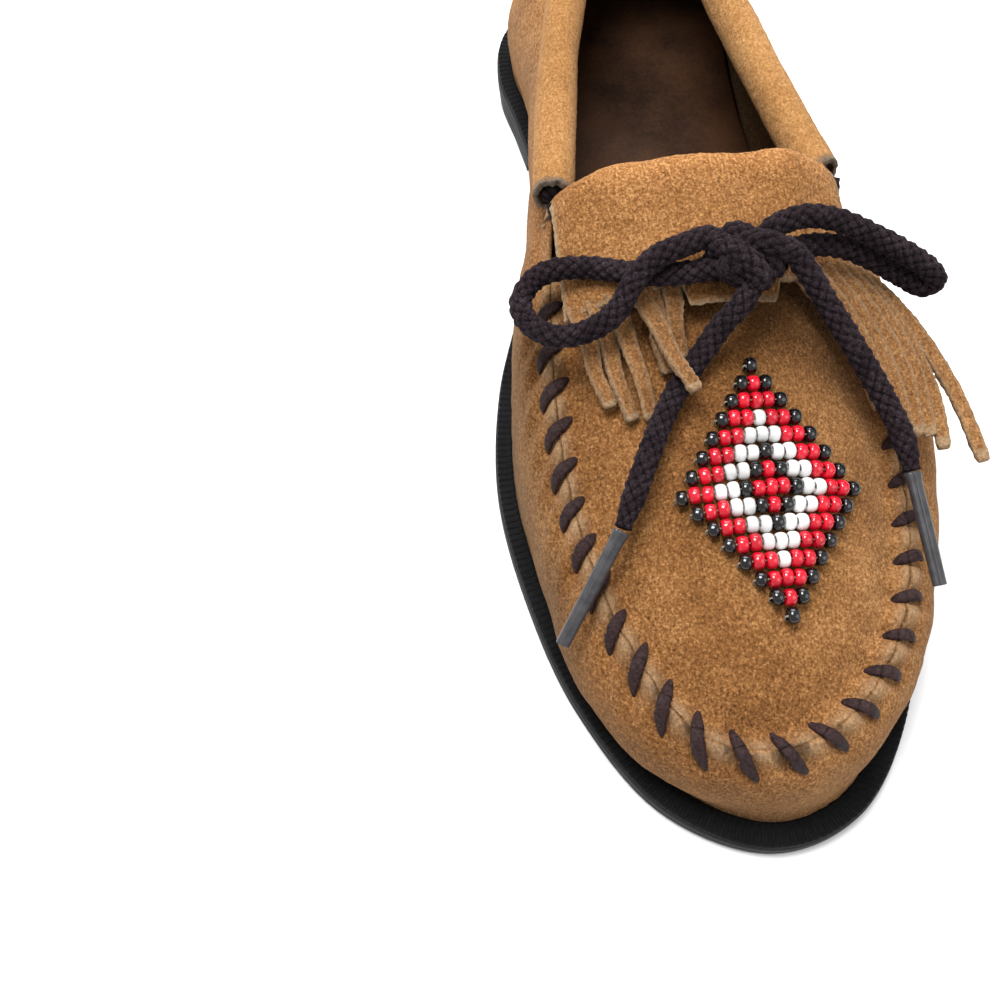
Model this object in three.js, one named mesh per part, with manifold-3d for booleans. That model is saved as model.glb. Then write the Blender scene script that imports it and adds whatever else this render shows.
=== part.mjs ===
// A beaded suede moccasin on a rubber sole, for the left foot.
// Millimetres, +Z up, the toe towards -Y, the inner side of the foot towards -X.
import * as THREE from "three";
import { mergeVertices } from "three/addons/utils/BufferGeometryUtils.js";
import Module from "manifold-3d";

// ---- Driving dimensions ----
const GAP = 0.3; // clearance between pieces that touch
const SEAM_GAP = 0.8; // between the two puckered flanges of the plug's seam
const SUEDE = 1.6; // thickness of the upper's suede
const OUTSOLE = 4.5;
const HEEL_RISE = 5; // how much higher the sole lies over the heel block
const WELT_WIDTH = 4;
const WELT_HEIGHT = 1.5;
const FEATHER_INSET = WELT_WIDTH + 2 * GAP; // from the sole's edge to the foot of the upper
const LASTING_MARGIN = 9; // suede turned in under the insole board
const BOARD = 1.5;
const FOAM = 2.6;
const SOCK_LINING = 1.1;
const COUNTER = 1.2; // stiffener inside the heel
const FLANGE = 3.6; // height of the puckered seam over the plug
const CASING_RADIUS = 5.3; // rolled collar that holds the lace
const LACE_RADIUS = 2.5;
const AGLET_RADIUS = 1.9;
const THONG_WIDTH = 3.4;
const THONG_THICKNESS = 1.1;
const HOLE_CLEARANCE = 0.35;
const BEAD_RADIUS = 1.85;
const BEAD_PITCH = 2.7; // length of one bead along its thread
const BEAD_ROW = 3.9; // from one row of beads to the next
const BEAD_WAIST = 0.72; // radius where two beads meet, as a share of a bead's
const STITCH_COUNT = 28;

// One row per station round the shoe, from the heel by the inner side to the toe and back:
// sole edge x and y, rim of the upper x and y, and how far the wall bulges over its foot.
const STATIONS = [
  [0, 132, 0, 116, 1.5],
  [-22, 127.5, -9.5, 110.5, 1.5],
  [-34, 114.5, -15, 100, 1.5],
  [-36.5, 98, -18.5, 89, 1.5],
  [-33.5, 81, -21.5, 75, 2.5],
  [-31, 63, -25.5, 58, 3],
  [-32.5, 43, -28.5, 40, 3.2],
  [-39, 19, -31.5, 20, 1.5],
  [-47.5, -8, -35.5, -6, 0.5],
  [-51, -38, -37.5, -38, 0],
  [-47, -68, -35.5, -67, 1],
  [-38.5, -96, -29, -92, 2.8],
  [-22.5, -121, -16.5, -112.8, 1.5],
  [0, -132, -1, -117.3, -1],
  [20.5, -126.5, 14, -112, -1],
  [36.5, -106, 28, -96.6, 0.5],
  [45.5, -76, 36, -75, 3],
  [48, -42, 38.5, -42, 7],
  [46, -8, 36, -6, 5],
  [42, 22, 28.5, 20, 4],
  [38.5, 45, 24.5, 40, 4.5],
  [36.5, 65, 21, 58, 4],
  [36.5, 84, 18, 75, 3],
  [37, 99, 17, 89, 2],
  [34, 115, 15, 100, 1.5],
  [22, 127.5, 9.5, 110.5, 1.5],
];
const THROAT_Y = -4; // rear edge of the plug

const COLOURS = {
  suede: [0xa2703d, 0.95],
  rubber: [0x262626, 0.8],
  board: [0x9a7d5a, 0.9],
  foam: [0xd8cfba, 0.95],
  leather: [0x4a2c1c, 0.6],
  thong: [0x3a2624, 0.7],
  lace: [0x33292f, 0.9],
  plastic: [0x3b3b3f, 0.3],
  r: [0xd01432, 0.2],
  w: [0xf2f2ee, 0.25],
  k: [0x101012, 0.2],
};

const UP = new THREE.Vector3(0, 0, 1);
const wasm = await Module();
wasm.setup();

// ---- Curves and heights ----
const soleCurve = new THREE.CatmullRomCurve3(
  STATIONS.map(([x, y, , , bulge]) => new THREE.Vector3(x, y, bulge)),
  true,
);
const rimCurve = new THREE.CatmullRomCurve3(
  STATIONS.map(([, , x, y]) => new THREE.Vector3(x, y, 0)),
  true,
);

const smooth = (from, to, value) => THREE.MathUtils.smoothstep(value, from, to);

// A smooth height through a few [place, height] pairs.
function heightAlong(pairs) {
  const curve = new THREE.CatmullRomCurve3(
    pairs.map(([place, height]) => new THREE.Vector3(place, height, 0)),
  );
  const points = curve.getPoints(8 * pairs.length);
  return (place) => {
    const last = points.length - 1;
    if (place <= points[0].x) return points[0].y;
    if (place >= points[last].x) return points[last].y;
    const i = points.findIndex((point) => point.x >= place);
    const share = (place - points[i - 1].x) / (points[i].x - points[i - 1].x);
    return THREE.MathUtils.lerp(points[i - 1].y, points[i].y, share);
  };
}

const rise = (y) => HEEL_RISE * smooth(-10, 66, y);
const instepLine = heightAlong([
  [-121, 28.5],
  [-110, 34],
  [-98, 38.5],
  [-80, 43],
  [-55, 47.5],
  [-25, 53.5],
  [0, 58],
  [16, 60],
]);
const INSTEP_DROOP = 0.0096; // how fast the instep falls away from its middle line
const instep = (x, y) => instepLine(y) - INSTEP_DROOP * x * x;
const collarLine = heightAlong([
  [8, 55],
  [40, 56],
  [75, 57.5],
  [98, 60],
  [118, 62.5],
]);

function outwardNormal(curve, t) {
  const tangent = curve.getTangent(t);
  return new THREE.Vector3(tangent.y, -tangent.x, 0).normalize();
}

// Height of the top of the upper's rim: the seam's flange in front, the foot of the casing behind.
function rimTop(x, y) {
  const seam = instep(x, y) + FLANGE;
  const collar = collarLine(y) - CASING_RADIUS - GAP;
  return THREE.MathUtils.lerp(seam, collar, smooth(-2, 12, y));
}

// ---- Solids ----
function solid(geometry) {
  const bare = geometry.clone();
  bare.deleteAttribute("normal");
  bare.deleteAttribute("uv");
  const merged = mergeVertices(bare, 1e-4);
  return new wasm.Manifold(
    new wasm.Mesh({
      numProp: 3,
      vertProperties: merged.attributes.position.array,
      triVerts: new Uint32Array(merged.index.array),
    }),
  );
}

function geometryOf(manifold) {
  const mesh = manifold.getMesh();
  const geometry = new THREE.BufferGeometry();
  geometry.setAttribute("position", new THREE.BufferAttribute(mesh.vertProperties, 3));
  geometry.setIndex(new THREE.BufferAttribute(mesh.triVerts, 1));
  geometry.computeVertexNormals();
  return geometry;
}

// A surface through rings of points; each ring is closed, and the first and last are capped
// unless the rings themselves close on each other.
function loft(rings, closed = false) {
  const count = rings[0].length;
  const positions = rings.flat().flatMap((point) => point.toArray());
  const faces = [];
  const spans = closed ? rings.length : rings.length - 1;
  for (let i = 0; i < spans; i++) {
    const next = (i + 1) % rings.length;
    for (let j = 0; j < count; j++) {
      const k = (j + 1) % count;
      const [a, b, c, d] = [i * count + j, i * count + k, next * count + k, next * count + j];
      faces.push(a, b, c, a, c, d);
    }
  }
  if (!closed) {
    for (const [ring, flip] of [
      [0, true],
      [rings.length - 1, false],
    ]) {
      const flat = flatten(rings[ring]);
      for (const [a, b, c] of THREE.ShapeUtils.triangulateShape(flat.points, [])) {
        const tri = [a, b, c].map((v) => v + ring * count);
        faces.push(...(flip !== flat.reversed ? tri.reverse() : tri));
      }
    }
  }
  const geometry = new THREE.BufferGeometry();
  geometry.setAttribute("position", new THREE.Float32BufferAttribute(positions, 3));
  geometry.setIndex(faces);
  const made = solid(geometry);
  if (made.volume() > 0) return made;
  for (let i = 0; i < faces.length; i += 3) [faces[i], faces[i + 1]] = [faces[i + 1], faces[i]];
  geometry.setIndex(faces);
  return solid(geometry);
}

// A ring of points seen square on, for capping it, and whether that view runs clockwise.
function flatten(ring) {
  const middle = ring.reduce((sum, p) => sum.add(p), new THREE.Vector3()).divideScalar(ring.length);
  const normal = new THREE.Vector3();
  ring.forEach((p, i) => {
    const a = p.clone().sub(middle);
    const b = ring[(i + 1) % ring.length].clone().sub(middle);
    normal.add(a.cross(b));
  });
  normal.normalize();
  const side = new THREE.Vector3(1, 0, 0);
  if (Math.abs(normal.x) > 0.8) side.set(0, 1, 0);
  const u = side.sub(normal.clone().multiplyScalar(side.dot(normal))).normalize();
  const v = normal.clone().cross(u);
  const points = ring.map((p) => {
    const r = p.clone().sub(middle);
    return new THREE.Vector2(r.dot(u), r.dot(v));
  });
  return { points, reversed: THREE.ShapeUtils.isClockWise(points) };
}

// The sole's outline drawn in by inset, as a prism through the whole height.
const PLAN_STEPS = 60; // stations round the sole and the wall

function planPrism(inset, steps = PLAN_STEPS) {
  const points = [];
  for (let i = 0; i < steps; i++) {
    const t = i / steps;
    const point = soleCurve.getPoint(t).setZ(0);
    points.push(point.addScaledVector(outwardNormal(soleCurve, t), -inset));
  }
  return prism(points);
}

function prism(points, low = -20, high = 110) {
  const shape = new THREE.Shape(points.map((point) => new THREE.Vector2(point.x, point.y)));
  const geometry = new THREE.ExtrudeGeometry(shape, { depth: high - low, bevelEnabled: false });
  return solid(geometry.translate(0, 0, low));
}

// A layer of the sole seen from the side, from one height to another, across the whole width.
function sideSlab(low, high, from = -140, to = 140) {
  const places = [from];
  for (let y = Math.max(from, -10) + 6; y < Math.min(to, 66); y += 7) places.push(y);
  places.push(to);
  const outline = [
    ...places.map((y) => new THREE.Vector2(y, low(y))),
    ...places.reverse().map((y) => new THREE.Vector2(y, high(y))),
  ];
  const width = 140;
  const geometry = new THREE.ExtrudeGeometry(new THREE.Shape(outline), {
    depth: width,
    bevelEnabled: false,
  });
  geometry.translate(0, 0, -width / 2);
  geometry.applyMatrix4(
    new THREE.Matrix4().makeBasis(new THREE.Vector3(0, 1, 0), UP, new THREE.Vector3(1, 0, 0)),
  );
  return solid(geometry);
}

const layer = (inset, bottom, thickness) =>
  planPrism(inset).intersect(sideSlab((y) => rise(y) + bottom, (y) => rise(y) + bottom + thickness));

// ---- Sole ----
const FEATHER_Z = OUTSOLE + GAP;
const BOARD_Z = FEATHER_Z + SUEDE + GAP;
const FOAM_Z = BOARD_Z + BOARD + GAP;
const SOCK_Z = FOAM_Z + FOAM + GAP;
const INSIDE = FEATHER_INSET + SUEDE + 2 * GAP; // inset of what lies inside the upper
const HEEL_BREAST = 70; // front edge of the heel block

function outsole() {
  let made = layer(0, 0, OUTSOLE);
  const groove = new THREE.BoxGeometry(140, 2, 1.6);
  for (let y = -118; y < -20; y += 14) made = made.subtract(solid(groove.clone().translate(0, y, 0)));
  return made;
}

const heelBlock = () =>
  planPrism(0.6).intersect(
    sideSlab(() => 0, (y) => rise(y) - GAP, HEEL_BREAST, 140),
  );

const welt = () => layer(GAP, FEATHER_Z, WELT_HEIGHT).subtract(planPrism(GAP + WELT_WIDTH));

// ---- Upper ----
// The wall's outer face at one station, from its foot to the neck under the rim, with the
// direction in which its thickness lies.
function wallProfile(t, steps = 5) {
  const edge = soleCurve.getPoint(t);
  const bulge = edge.z;
  const out = outwardNormal(soleCurve, t);
  const foot = edge.clone().setZ(0).addScaledVector(out, -FEATHER_INSET);
  foot.z = rise(foot.y) + FEATHER_Z;
  const rim = rimCurve.getPoint(t);
  const neck = rim.clone().addScaledVector(outwardNormal(rimCurve, t), SEAM_GAP / 2 + SUEDE);
  neck.z = rimTop(rim.x, rim.y) - FLANGE;
  const base = foot.clone().addScaledVector(UP, WELT_HEIGHT + GAP);
  const height = neck.z - base.z;
  const low = base.clone().addScaledVector(out, 1.9 * bulge + 1).addScaledVector(UP, 0.35 * height);
  const high = base.clone().lerp(neck, 0.5).addScaledVector(out, 1.2 * bulge + 4);
  high.z = base.z + 0.88 * height;
  const curve = new THREE.CubicBezierCurve3(base, low, high, neck);
  const points = [];
  for (let i = 0; i < steps; i++) {
    const at = i / (steps - 1);
    const along = curve.getTangent(at);
    const normal = out.clone().multiplyScalar(along.z).addScaledVector(UP, -along.dot(out));
    points.push({ point: curve.getPoint(at), normal: normal.normalize() });
  }
  return { points, out, foot, neck, rim };
}

function upperWall() {
  const steps = PLAN_STEPS;
  const slit = 0.0012; // half the back seam, as a share of the way round
  const rings = [];
  for (let i = 0; i <= steps; i++) {
    const t = THREE.MathUtils.lerp(slit, 1 - slit, i / steps);
    const { points, out, foot, neck } = wallProfile(t);
    const rimOut = outwardNormal(rimCurve, t);
    const lip = neck.clone().addScaledVector(UP, FLANGE);
    const outer = points.map(({ point }) => point);
    const inner = points.map(({ point, normal }) => point.clone().addScaledVector(normal, -SUEDE));
    inner[inner.length - 1] = neck.clone().addScaledVector(rimOut, -SUEDE);
    const floor = foot.clone().addScaledVector(UP, SUEDE);
    rings.push([
      foot,
      ...outer,
      lip,
      lip.clone().addScaledVector(rimOut, -SUEDE),
      ...inner.reverse(),
      floor.clone().addScaledVector(out, -SUEDE),
      floor.clone().addScaledVector(out, -LASTING_MARGIN),
      foot.clone().addScaledVector(out, -LASTING_MARGIN),
    ]);
  }
  return loft(rings);
}

// A lining shell inside the heel, between two shares of the wall's height.
function heelShell(depth, thickness, halfSpan, lowShare, highShare) {
  const steps = 20;
  const rings = [];
  for (let i = 0; i <= steps; i++) {
    const t = THREE.MathUtils.lerp(-halfSpan, halfSpan, i / steps);
    const { points } = wallProfile((t + 1) % 1, 11);
    const from = Math.round(lowShare * 10);
    const to = Math.round(highShare * 10);
    const band = points.slice(from, to + 1).filter((_, index) => index % 2 === 0);
    const face = (offset) => band.map(({ point, normal }) => point.clone().addScaledVector(normal, -offset));
    rings.push([...face(depth), ...face(depth + thickness).reverse()]);
  }
  return loft(rings);
}

// The stretch of the stations that the plug's seam follows, as shares of the way round.
const shareAtThroat = (direction) => {
  let t = 0.5;
  while (rimCurve.getPoint(t).y < THROAT_Y) t += direction * 0.0005;
  return t;
};
const SEAM_FROM = shareAtThroat(-1);
const SEAM_TO = shareAtThroat(1);

// Equal steps along the seam, as shares of the way round.
function seamShares(steps) {
  const samples = 400;
  const shares = [];
  const lengths = [0];
  for (let i = 0; i <= samples; i++) shares.push(THREE.MathUtils.lerp(SEAM_FROM, SEAM_TO, i / samples));
  for (let i = 1; i <= samples; i++) {
    const step = rimCurve.getPoint(shares[i]).distanceTo(rimCurve.getPoint(shares[i - 1]));
    lengths.push(lengths[i - 1] + step);
  }
  const made = [];
  for (let i = 0; i <= steps; i++) {
    const wanted = (lengths[samples] * i) / steps;
    const k = Math.max(1, lengths.findIndex((length) => length >= wanted - 1e-9));
    const part = (wanted - lengths[k - 1]) / (lengths[k] - lengths[k - 1]);
    made.push(THREE.MathUtils.lerp(shares[k - 1], shares[k], part));
  }
  return made;
}

// A sheet that follows a height over the plan, cut to a plan outline.
function sheet(bottom, thickness, outline, [x0, x1, y0, y1], columns, rows) {
  const rings = [];
  for (let i = 0; i <= rows; i++) {
    const y = THREE.MathUtils.lerp(y0, y1, i / rows);
    const lower = [];
    const upper = [];
    for (let j = 0; j <= columns; j++) {
      const x = THREE.MathUtils.lerp(x0, x1, j / columns);
      const z = bottom(x, y);
      lower.push(new THREE.Vector3(x, y, z));
      upper.push(new THREE.Vector3(x, y, z + thickness));
    }
    rings.push([...lower, ...upper.reverse()]);
  }
  return loft(rings).intersect(prism(outline));
}

function plug() {
  const shares = seamShares(40);
  const inset = (SEAM_GAP + SUEDE) / 2;
  const flangeRings = shares.map((t) => {
    const rim = rimCurve.getPoint(t);
    const out = outwardNormal(rimCurve, t);
    const base = instep(rim.x, rim.y) - SUEDE;
    const face = (offset, z) => rim.clone().addScaledVector(out, -offset).setZ(z);
    const near = SEAM_GAP / 2;
    const far = SEAM_GAP / 2 + SUEDE;
    const top = base + SUEDE + FLANGE;
    return [face(near, base), face(far, base), face(far, top), face(near, top)];
  });
  const outline = shares.map((t) =>
    rimCurve.getPoint(t).addScaledVector(outwardNormal(rimCurve, t), -inset),
  );
  const bottom = (x, y) => instep(x, y) - SUEDE;
  const apron = sheet(bottom, SUEDE, outline, [-44, 44, -124, 2], 10, 12);
  return apron.add(loft(flangeRings));
}

// ---- Whipstitched thong ----
// It runs over the seam's two flanges, goes back through both below, and so on round the toe.
function thongRoute(clearance) {
  const shares = seamShares(STITCH_COUNT * 6);
  const reach = SUEDE + SEAM_GAP / 2 + 0.5 + THONG_THICKNESS / 2;
  const turn = [
    [0, -1, 0.8],
    [1, -1, 1.6],
    [2, -0.75, 3.9],
    [3, 0, 4.6],
    [4, 0.75, 3.9],
    [5, 1, 1.6],
    [6, 1, 0.8],
  ];
  const route = [];
  const half = THONG_WIDTH / 2 + clearance;
  const thin = THONG_THICKNESS / 2 + clearance;
  for (let stitch = 1; stitch < STITCH_COUNT - 1; stitch++) {
    for (const [step, side, height] of turn) {
      const t = shares[stitch * 6 + step];
      const rim = rimCurve.getPoint(t);
      const out = outwardNormal(rimCurve, t);
      const point = rim.clone().addScaledVector(out, side * reach);
      point.z = instep(rim.x, rim.y) + height;
      route.push({ point, across: new THREE.Vector3(-out.y, out.x, 0), out, side, height });
    }
  }
  return { route, half, thin };
}

function thongRings(clearance) {
  const { route, half, thin } = thongRoute(clearance);
  return route.map(({ point, across, out, side, height }) => {
    // The strip's flat lies against the seam: level on top, upright at the sides.
    const lean = height > 4.5 ? 0 : Math.sign(side);
    const through = height < 1;
    const face = new THREE.Vector3();
    if (through) face.copy(UP).negate().addScaledVector(out, side * 0.9);
    else if (lean === 0) face.copy(UP);
    else face.copy(out).multiplyScalar(lean).addScaledVector(UP, height > 3 ? 1 : 0.1);
    face.normalize();
    const corner = (a, b) => point.clone().addScaledVector(across, a * half).addScaledVector(face, b * thin);
    return [corner(-1, -1), corner(1, -1), corner(1, 1), corner(-1, 1)];
  });
}

// Room for the thong in the pieces it passes through.
function thongHoles() {
  const rings = thongRings(HOLE_CLEARANCE);
  const rooms = rings.slice(1).map((ring, i) =>
    wasm.Manifold.hull([...rings[i], ...ring].map((point) => point.toArray())),
  );
  return wasm.Manifold.union(rooms);
}

// ---- Tongue and fringed flap ----
const FLAP_LIFT = 6; // room under the flap for the lace
const FOLD_RADIUS = 4.7;
const FOLD_HALF = 27; // the roll lies between the two rims, and the flap reaches over them
const FLAP_HALF = 34.5;
const foldY = (x) => 12.5 - 0.003 * x * x - 0.03 * x;
const flapBottom = (x, y) =>
  instep(x, y) + THREE.MathUtils.lerp(1.2, FLAP_LIFT, smooth(-33, -20, y));

function tongue() {
  const points = [];
  for (let i = 0; i <= 10; i++) {
    const x = THREE.MathUtils.lerp(26, -26, i / 10);
    points.push(new THREE.Vector3(x, foldY(x) - FOLD_RADIUS - 1.3, 0));
  }
  const front = THROAT_Y + GAP;
  points.push(new THREE.Vector3(-30, front, 0), new THREE.Vector3(30, front, 0));
  return sheet((x, y) => instep(x, y) - SUEDE, SUEDE, points, [-36, 36, front - 2, 14], 8, 3);
}

// The rolled rear edge where the flap folds over the tongue.
function flapFold() {
  const steps = 10;
  const rings = [];
  for (let i = 0; i <= steps; i++) {
    const x = THREE.MathUtils.lerp(-FOLD_HALF, FOLD_HALF, i / steps);
    const y = foldY(x) - FOLD_RADIUS;
    const z = flapBottom(x, y) + SUEDE - FOLD_RADIUS;
    const arc = (radius, angle) =>
      new THREE.Vector3(x, y + radius * Math.cos(angle), z + radius * Math.sin(angle));
    const angles = [100, 70, 35, 0, -30].map(THREE.MathUtils.degToRad);
    rings.push([
      ...angles.map((angle) => arc(FOLD_RADIUS, angle)),
      ...angles.reverse().map((angle) => arc(FOLD_RADIUS - SUEDE, angle)),
    ]);
  }
  return loft(rings);
}

// A flat strip of fringe through a few points of its lower face.
function fringeStrip(points) {
  const curve = new THREE.CatmullRomCurve3(points);
  const steps = 4;
  const rings = [];
  for (let i = 0; i <= steps; i++) {
    const point = curve.getPoint(i / steps);
    const tangent = curve.getTangent(i / steps);
    const across = UP.clone().cross(tangent).normalize();
    const face = tangent.clone().cross(across).normalize();
    const corner = (a, b) =>
      point.clone().addScaledVector(across, (a * STRIP_WIDTH) / 2).addScaledVector(face, b);
    rings.push([corner(-1, 0), corner(1, 0), corner(1, SUEDE), corner(-1, SUEDE)]);
  }
  return loft(rings);
}

const STRIP_WIDTH = 3.5;
const fringeRootY = (x) => -20 + 5 * smooth(16, 34, x);
// Fringe strips: root x, tip x, tip y, the tip's height where it doesn't rest on the shoe, and
// how far the strip bows outwards between its ends.
const FRINGE = [
  [-31.5, -26.5, -41, 0, 0],
  [-27.3, -22.3, -45, 0, 0],
  [-23.1, -18, -46, 0, 0],
  [-18.6, -9.6, -45.5, 57, 0],
  [-15.3, -13.5, -36.5, 0, 0],
  [-11, -10, -33.5, 0, 0],
  [18.5, 33, -47, 0, 2],
  [21.5, 36, -51, 43, 3],
  [24.5, 38.5, -53, 43, 3.5],
  [27.3, 41, -53.5, 43, 4],
  [29.8, 43.3, -54, 43, 4.5],
  [31.8, 46.3, -56.8, 42, 4.5],
  [33.6, 54.3, -60.4, 41, 4.5],
];

// The height at which a strip rests on the plug and, towards the sides, on the stitched seam.
const stripRest = (x, y) => instep(x, y) + 1.2 + 5.4 * smooth(24, 32, Math.abs(x));

function fringeFlap() {
  const outline = [];
  for (let i = 0; i <= 10; i++) {
    const x = THREE.MathUtils.lerp(FLAP_HALF, -FLAP_HALF, i / 10);
    outline.push(new THREE.Vector3(x, foldY(x) - FOLD_RADIUS, 0));
  }
  for (const [x, over] of [
    [-FLAP_HALF, 0],
    [-9, 0],
    [-7, -5],
    [12, -5],
    [14, 0],
    [FLAP_HALF, 0],
  ]) {
    outline.push(new THREE.Vector3(x, fringeRootY(x) + over, 0));
  }
  const bounds = [-36, 36, -27, 13];
  let made = sheet(flapBottom, SUEDE, outline, bounds, 8, 5).add(flapFold());
  for (const [rootX, tipX, tipY, tipZ, bow] of FRINGE) {
    const rootY = fringeRootY(rootX) + 1.5;
    const root = new THREE.Vector3(rootX, rootY, flapBottom(rootX, rootY));
    const tip = new THREE.Vector3(tipX, tipY, tipZ || stripRest(tipX, tipY));
    const between = [0.3, 0.65].map((share) => {
      const point = root.clone().lerp(tip, share);
      point.x += bow * Math.sin(Math.PI * share);
      const slack = tipZ ? 0 : 0.6 * (1 - share);
      point.z = Math.max(point.z, stripRest(point.x, point.y) + slack);
      return point;
    });
    made = made.add(fringeStrip([root, ...between, tip]));
  }
  for (const [x, y] of LACE_HOLES) {
    const hole = new THREE.CylinderGeometry(LACE_RADIUS + 0.6, LACE_RADIUS + 0.6, 20, 8);
    made = made.subtract(solid(hole.rotateX(Math.PI / 2).translate(x, y, instep(x, y) + 5)));
  }
  return made;
}

// ---- Collar casing and lace ----
const LACE_HOLES = [
  [-1, -15.5],
  [10, -18],
];

// The casing follows the rim from one side of the throat round the heel to the other.
function casingRoute() {
  const from = 0.999 - shareWhere(12, 1);
  const route = [];
  const steps = 30;
  for (let i = 0; i <= steps; i++) {
    const t = (THREE.MathUtils.lerp(-from, shareWhere(12, -1), i / steps) + 1) % 1;
    const rim = rimCurve.getPoint(t);
    route.push(rim.setZ(collarLine(rim.y)));
  }
  return new THREE.CatmullRomCurve3(route);
}

// The share of the way round at which the rim reaches a y, from the toe along one side.
function shareWhere(y, direction) {
  let t = 0.5;
  while (rimCurve.getPoint(t).y < y) t += direction * 0.0005;
  return t;
}

// Rings of a round section along a curve, square to it and free of twist. The radius is a number,
// or a function of the ring's index.
function roundRings(curve, radius, steps, sides, from = 0, to = 1) {
  const rings = [];
  for (let i = 0; i <= steps; i++) {
    const at = THREE.MathUtils.lerp(from, to, i / steps);
    const tangent = curve.getTangentAt(at);
    const steep = Math.abs(tangent.z) > 0.9;
    const guide = steep ? new THREE.Vector3(0, 1, 0) : UP;
    const side = tangent.clone().cross(guide).normalize();
    const top = side.clone().cross(tangent);
    const point = curve.getPointAt(at);
    const size = typeof radius === "number" ? radius : radius(i);
    const ring = [];
    for (let j = 0; j < sides; j++) {
      const angle = ((j + 0.5) / sides) * 2 * Math.PI;
      ring.push(
        point
          .clone()
          .addScaledVector(side, size * Math.cos(angle))
          .addScaledVector(top, size * Math.sin(angle)),
      );
    }
    rings.push(ring);
  }
  return rings;
}

function collarCasing() {
  const route = casingRoute();
  const outer = roundRings(route, CASING_RADIUS, 32, 8);
  const inner = roundRings(route, CASING_RADIUS - SUEDE, 32, 8);
  return tube(outer, inner);
}

// A hollow tube from its outer and inner rings, open at both ends.
function tube(outer, inner) {
  const count = outer[0].length;
  const columns = [];
  for (let j = 0; j < count; j++) {
    const loop = [...outer.map((ring) => ring[j]), ...inner.map((ring) => ring[j]).reverse()];
    columns.push(loop);
  }
  return loft(columns, true);
}

// A round tube along a hand-chosen route, swept by the curve's own frames.
function cord(points, radius, steps, sides = 8) {
  const curve = new THREE.CatmullRomCurve3(points.map((point) => new THREE.Vector3(...point)));
  const section = new THREE.Shape();
  for (let j = 0; j < sides; j++) {
    const angle = (j / sides) * 2 * Math.PI;
    const [x, y] = [radius * Math.cos(angle), radius * Math.sin(angle)];
    if (j) section.lineTo(x, y);
    else section.moveTo(x, y);
  }
  return solid(new THREE.ExtrudeGeometry(section, { steps, bevelEnabled: false, extrudePath: curve }));
}

const KNOT = [4, -20.5, 69];
const KNOT_RADII = [6, 8, 5];

const knot = () =>
  solid(new THREE.SphereGeometry(1, 12, 8).scale(...KNOT_RADII).translate(...KNOT));

const LACE_ROUTES = {
  lace_run_medial: [
    [-32.2, 10.6, 55],
    [-31.4, 8, 53.5],
    [-30.6, 5, 52],
    [-28.5, 0.5, 53.1],
    [-23.5, -5, 54.8],
    [-16.5, -10.3, 56.6],
    [-8, -13.8, 57.9],
    [-2.4, -15.4, 58.7],
    [-1, -15.5, 61.3],
    [-1, -15.7, 64],
  ],
  lace_run_lateral: [
    [32.6, 10.6, 55],
    [32, 8, 54],
    [31.2, 5, 52.3],
    [28.7, 0.5, 53.1],
    [24.5, -5, 54.3],
    [19.5, -11, 55.4],
    [14.5, -15.8, 56.2],
    [11.1, -17.8, 56.7],
    [10, -18, 60.3],
    [9.8, -18.2, 63.8],
  ],
  bow_loop_medial: [
    [-3.6, -15.4, 70.2],
    [-9.3, -16.9, 70],
    [-15.3, -18.7, 69],
    [-19.8, -21.8, 66],
    [-24.4, -26.4, 61],
    [-31.4, -28.3, 57.5],
    [-37.8, -26.6, 55],
    [-42.6, -21.3, 53.5],
    [-43.4, -15.3, 53.2],
    [-39.6, -10.8, 55],
    [-34.6, -10.5, 57.2],
    [-27.5, -12.4, 59.2],
    [-20.8, -16, 61.5],
    [-14.2, -19.1, 63.7],
    [-7.2, -20.2, 65],
    [-3.4, -20.6, 66],
  ],
  bow_loop_lateral: [
    [10.4, -15.4, 71.4],
    [17.1, -13.6, 72.3],
    [24.9, -13.6, 70.3],
    [34.3, -15.8, 66.2],
    [41.4, -18, 62.5],
    [47, -20, 59],
    [49.4, -21.2, 55.8],
    [47.2, -20.9, 53.6],
    [42.7, -18.4, 54.8],
    [35.3, -16.4, 59],
    [28.1, -14.9, 62.4],
    [20.5, -15.5, 64.7],
    [12.8, -17.8, 66.4],
  ],
  lace_end_medial: [
    [2.6, -29.2, 65.6],
    [-1.5, -31.4, 61.2],
    [-5, -34.2, 57],
    [-8.8, -37.8, 54.1],
    [-12.6, -42.4, 53.2],
    [-17.4, -50, 52],
    [-23.4, -61.5, 49.4],
    [-28, -70.6, 46.4],
  ],
  lace_end_lateral: [
    [9.4, -22.2, 74.2],
    [12.9, -22.6, 72.3],
    [16.2, -25.6, 69.2],
    [19.8, -30, 65],
    [24.2, -35.6, 60.2],
    [28.1, -42, 56.4],
    [31.1, -48.2, 53.5],
    [33.7, -54.7, 51],
    [34.9, -60, 49],
    [35.2, -64.1, 47.6],
  ],
};
const AGLETS = {
  aglet_medial: [
    [-28.3, -71.1, 46.1],
    [-42.8, -90.6, 34.5],
  ],
  aglet_lateral: [
    [35.3, -64.5, 47.4],
    [37.3, -87.8, 40.2],
  ],
};

// ---- Beadwork ----
// A stepped diamond in bands of colour, with one string of beads to a row. The bands are letters
// for red, white and black, from the middle bead outwards.
const ORNAMENT = [4.5, -64.8]; // its middle
const BANDS = "rrkwwrrk";

function beadRows() {
  const reach = BANDS.length - 1;
  const rows = [];
  for (let row = -reach; row <= reach; row++) {
    const half = reach - Math.abs(row);
    let beads = "";
    for (let bead = -half; bead <= half; bead++) beads += BANDS[Math.abs(row) + Math.abs(bead)];
    const name = "bead_row_" + String(row + reach + 1).padStart(2, "0");
    rows.push({ name, y: ORNAMENT[1] - row * BEAD_ROW, beads, colour: BANDS[Math.abs(row)] });
  }
  return rows;
}

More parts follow.
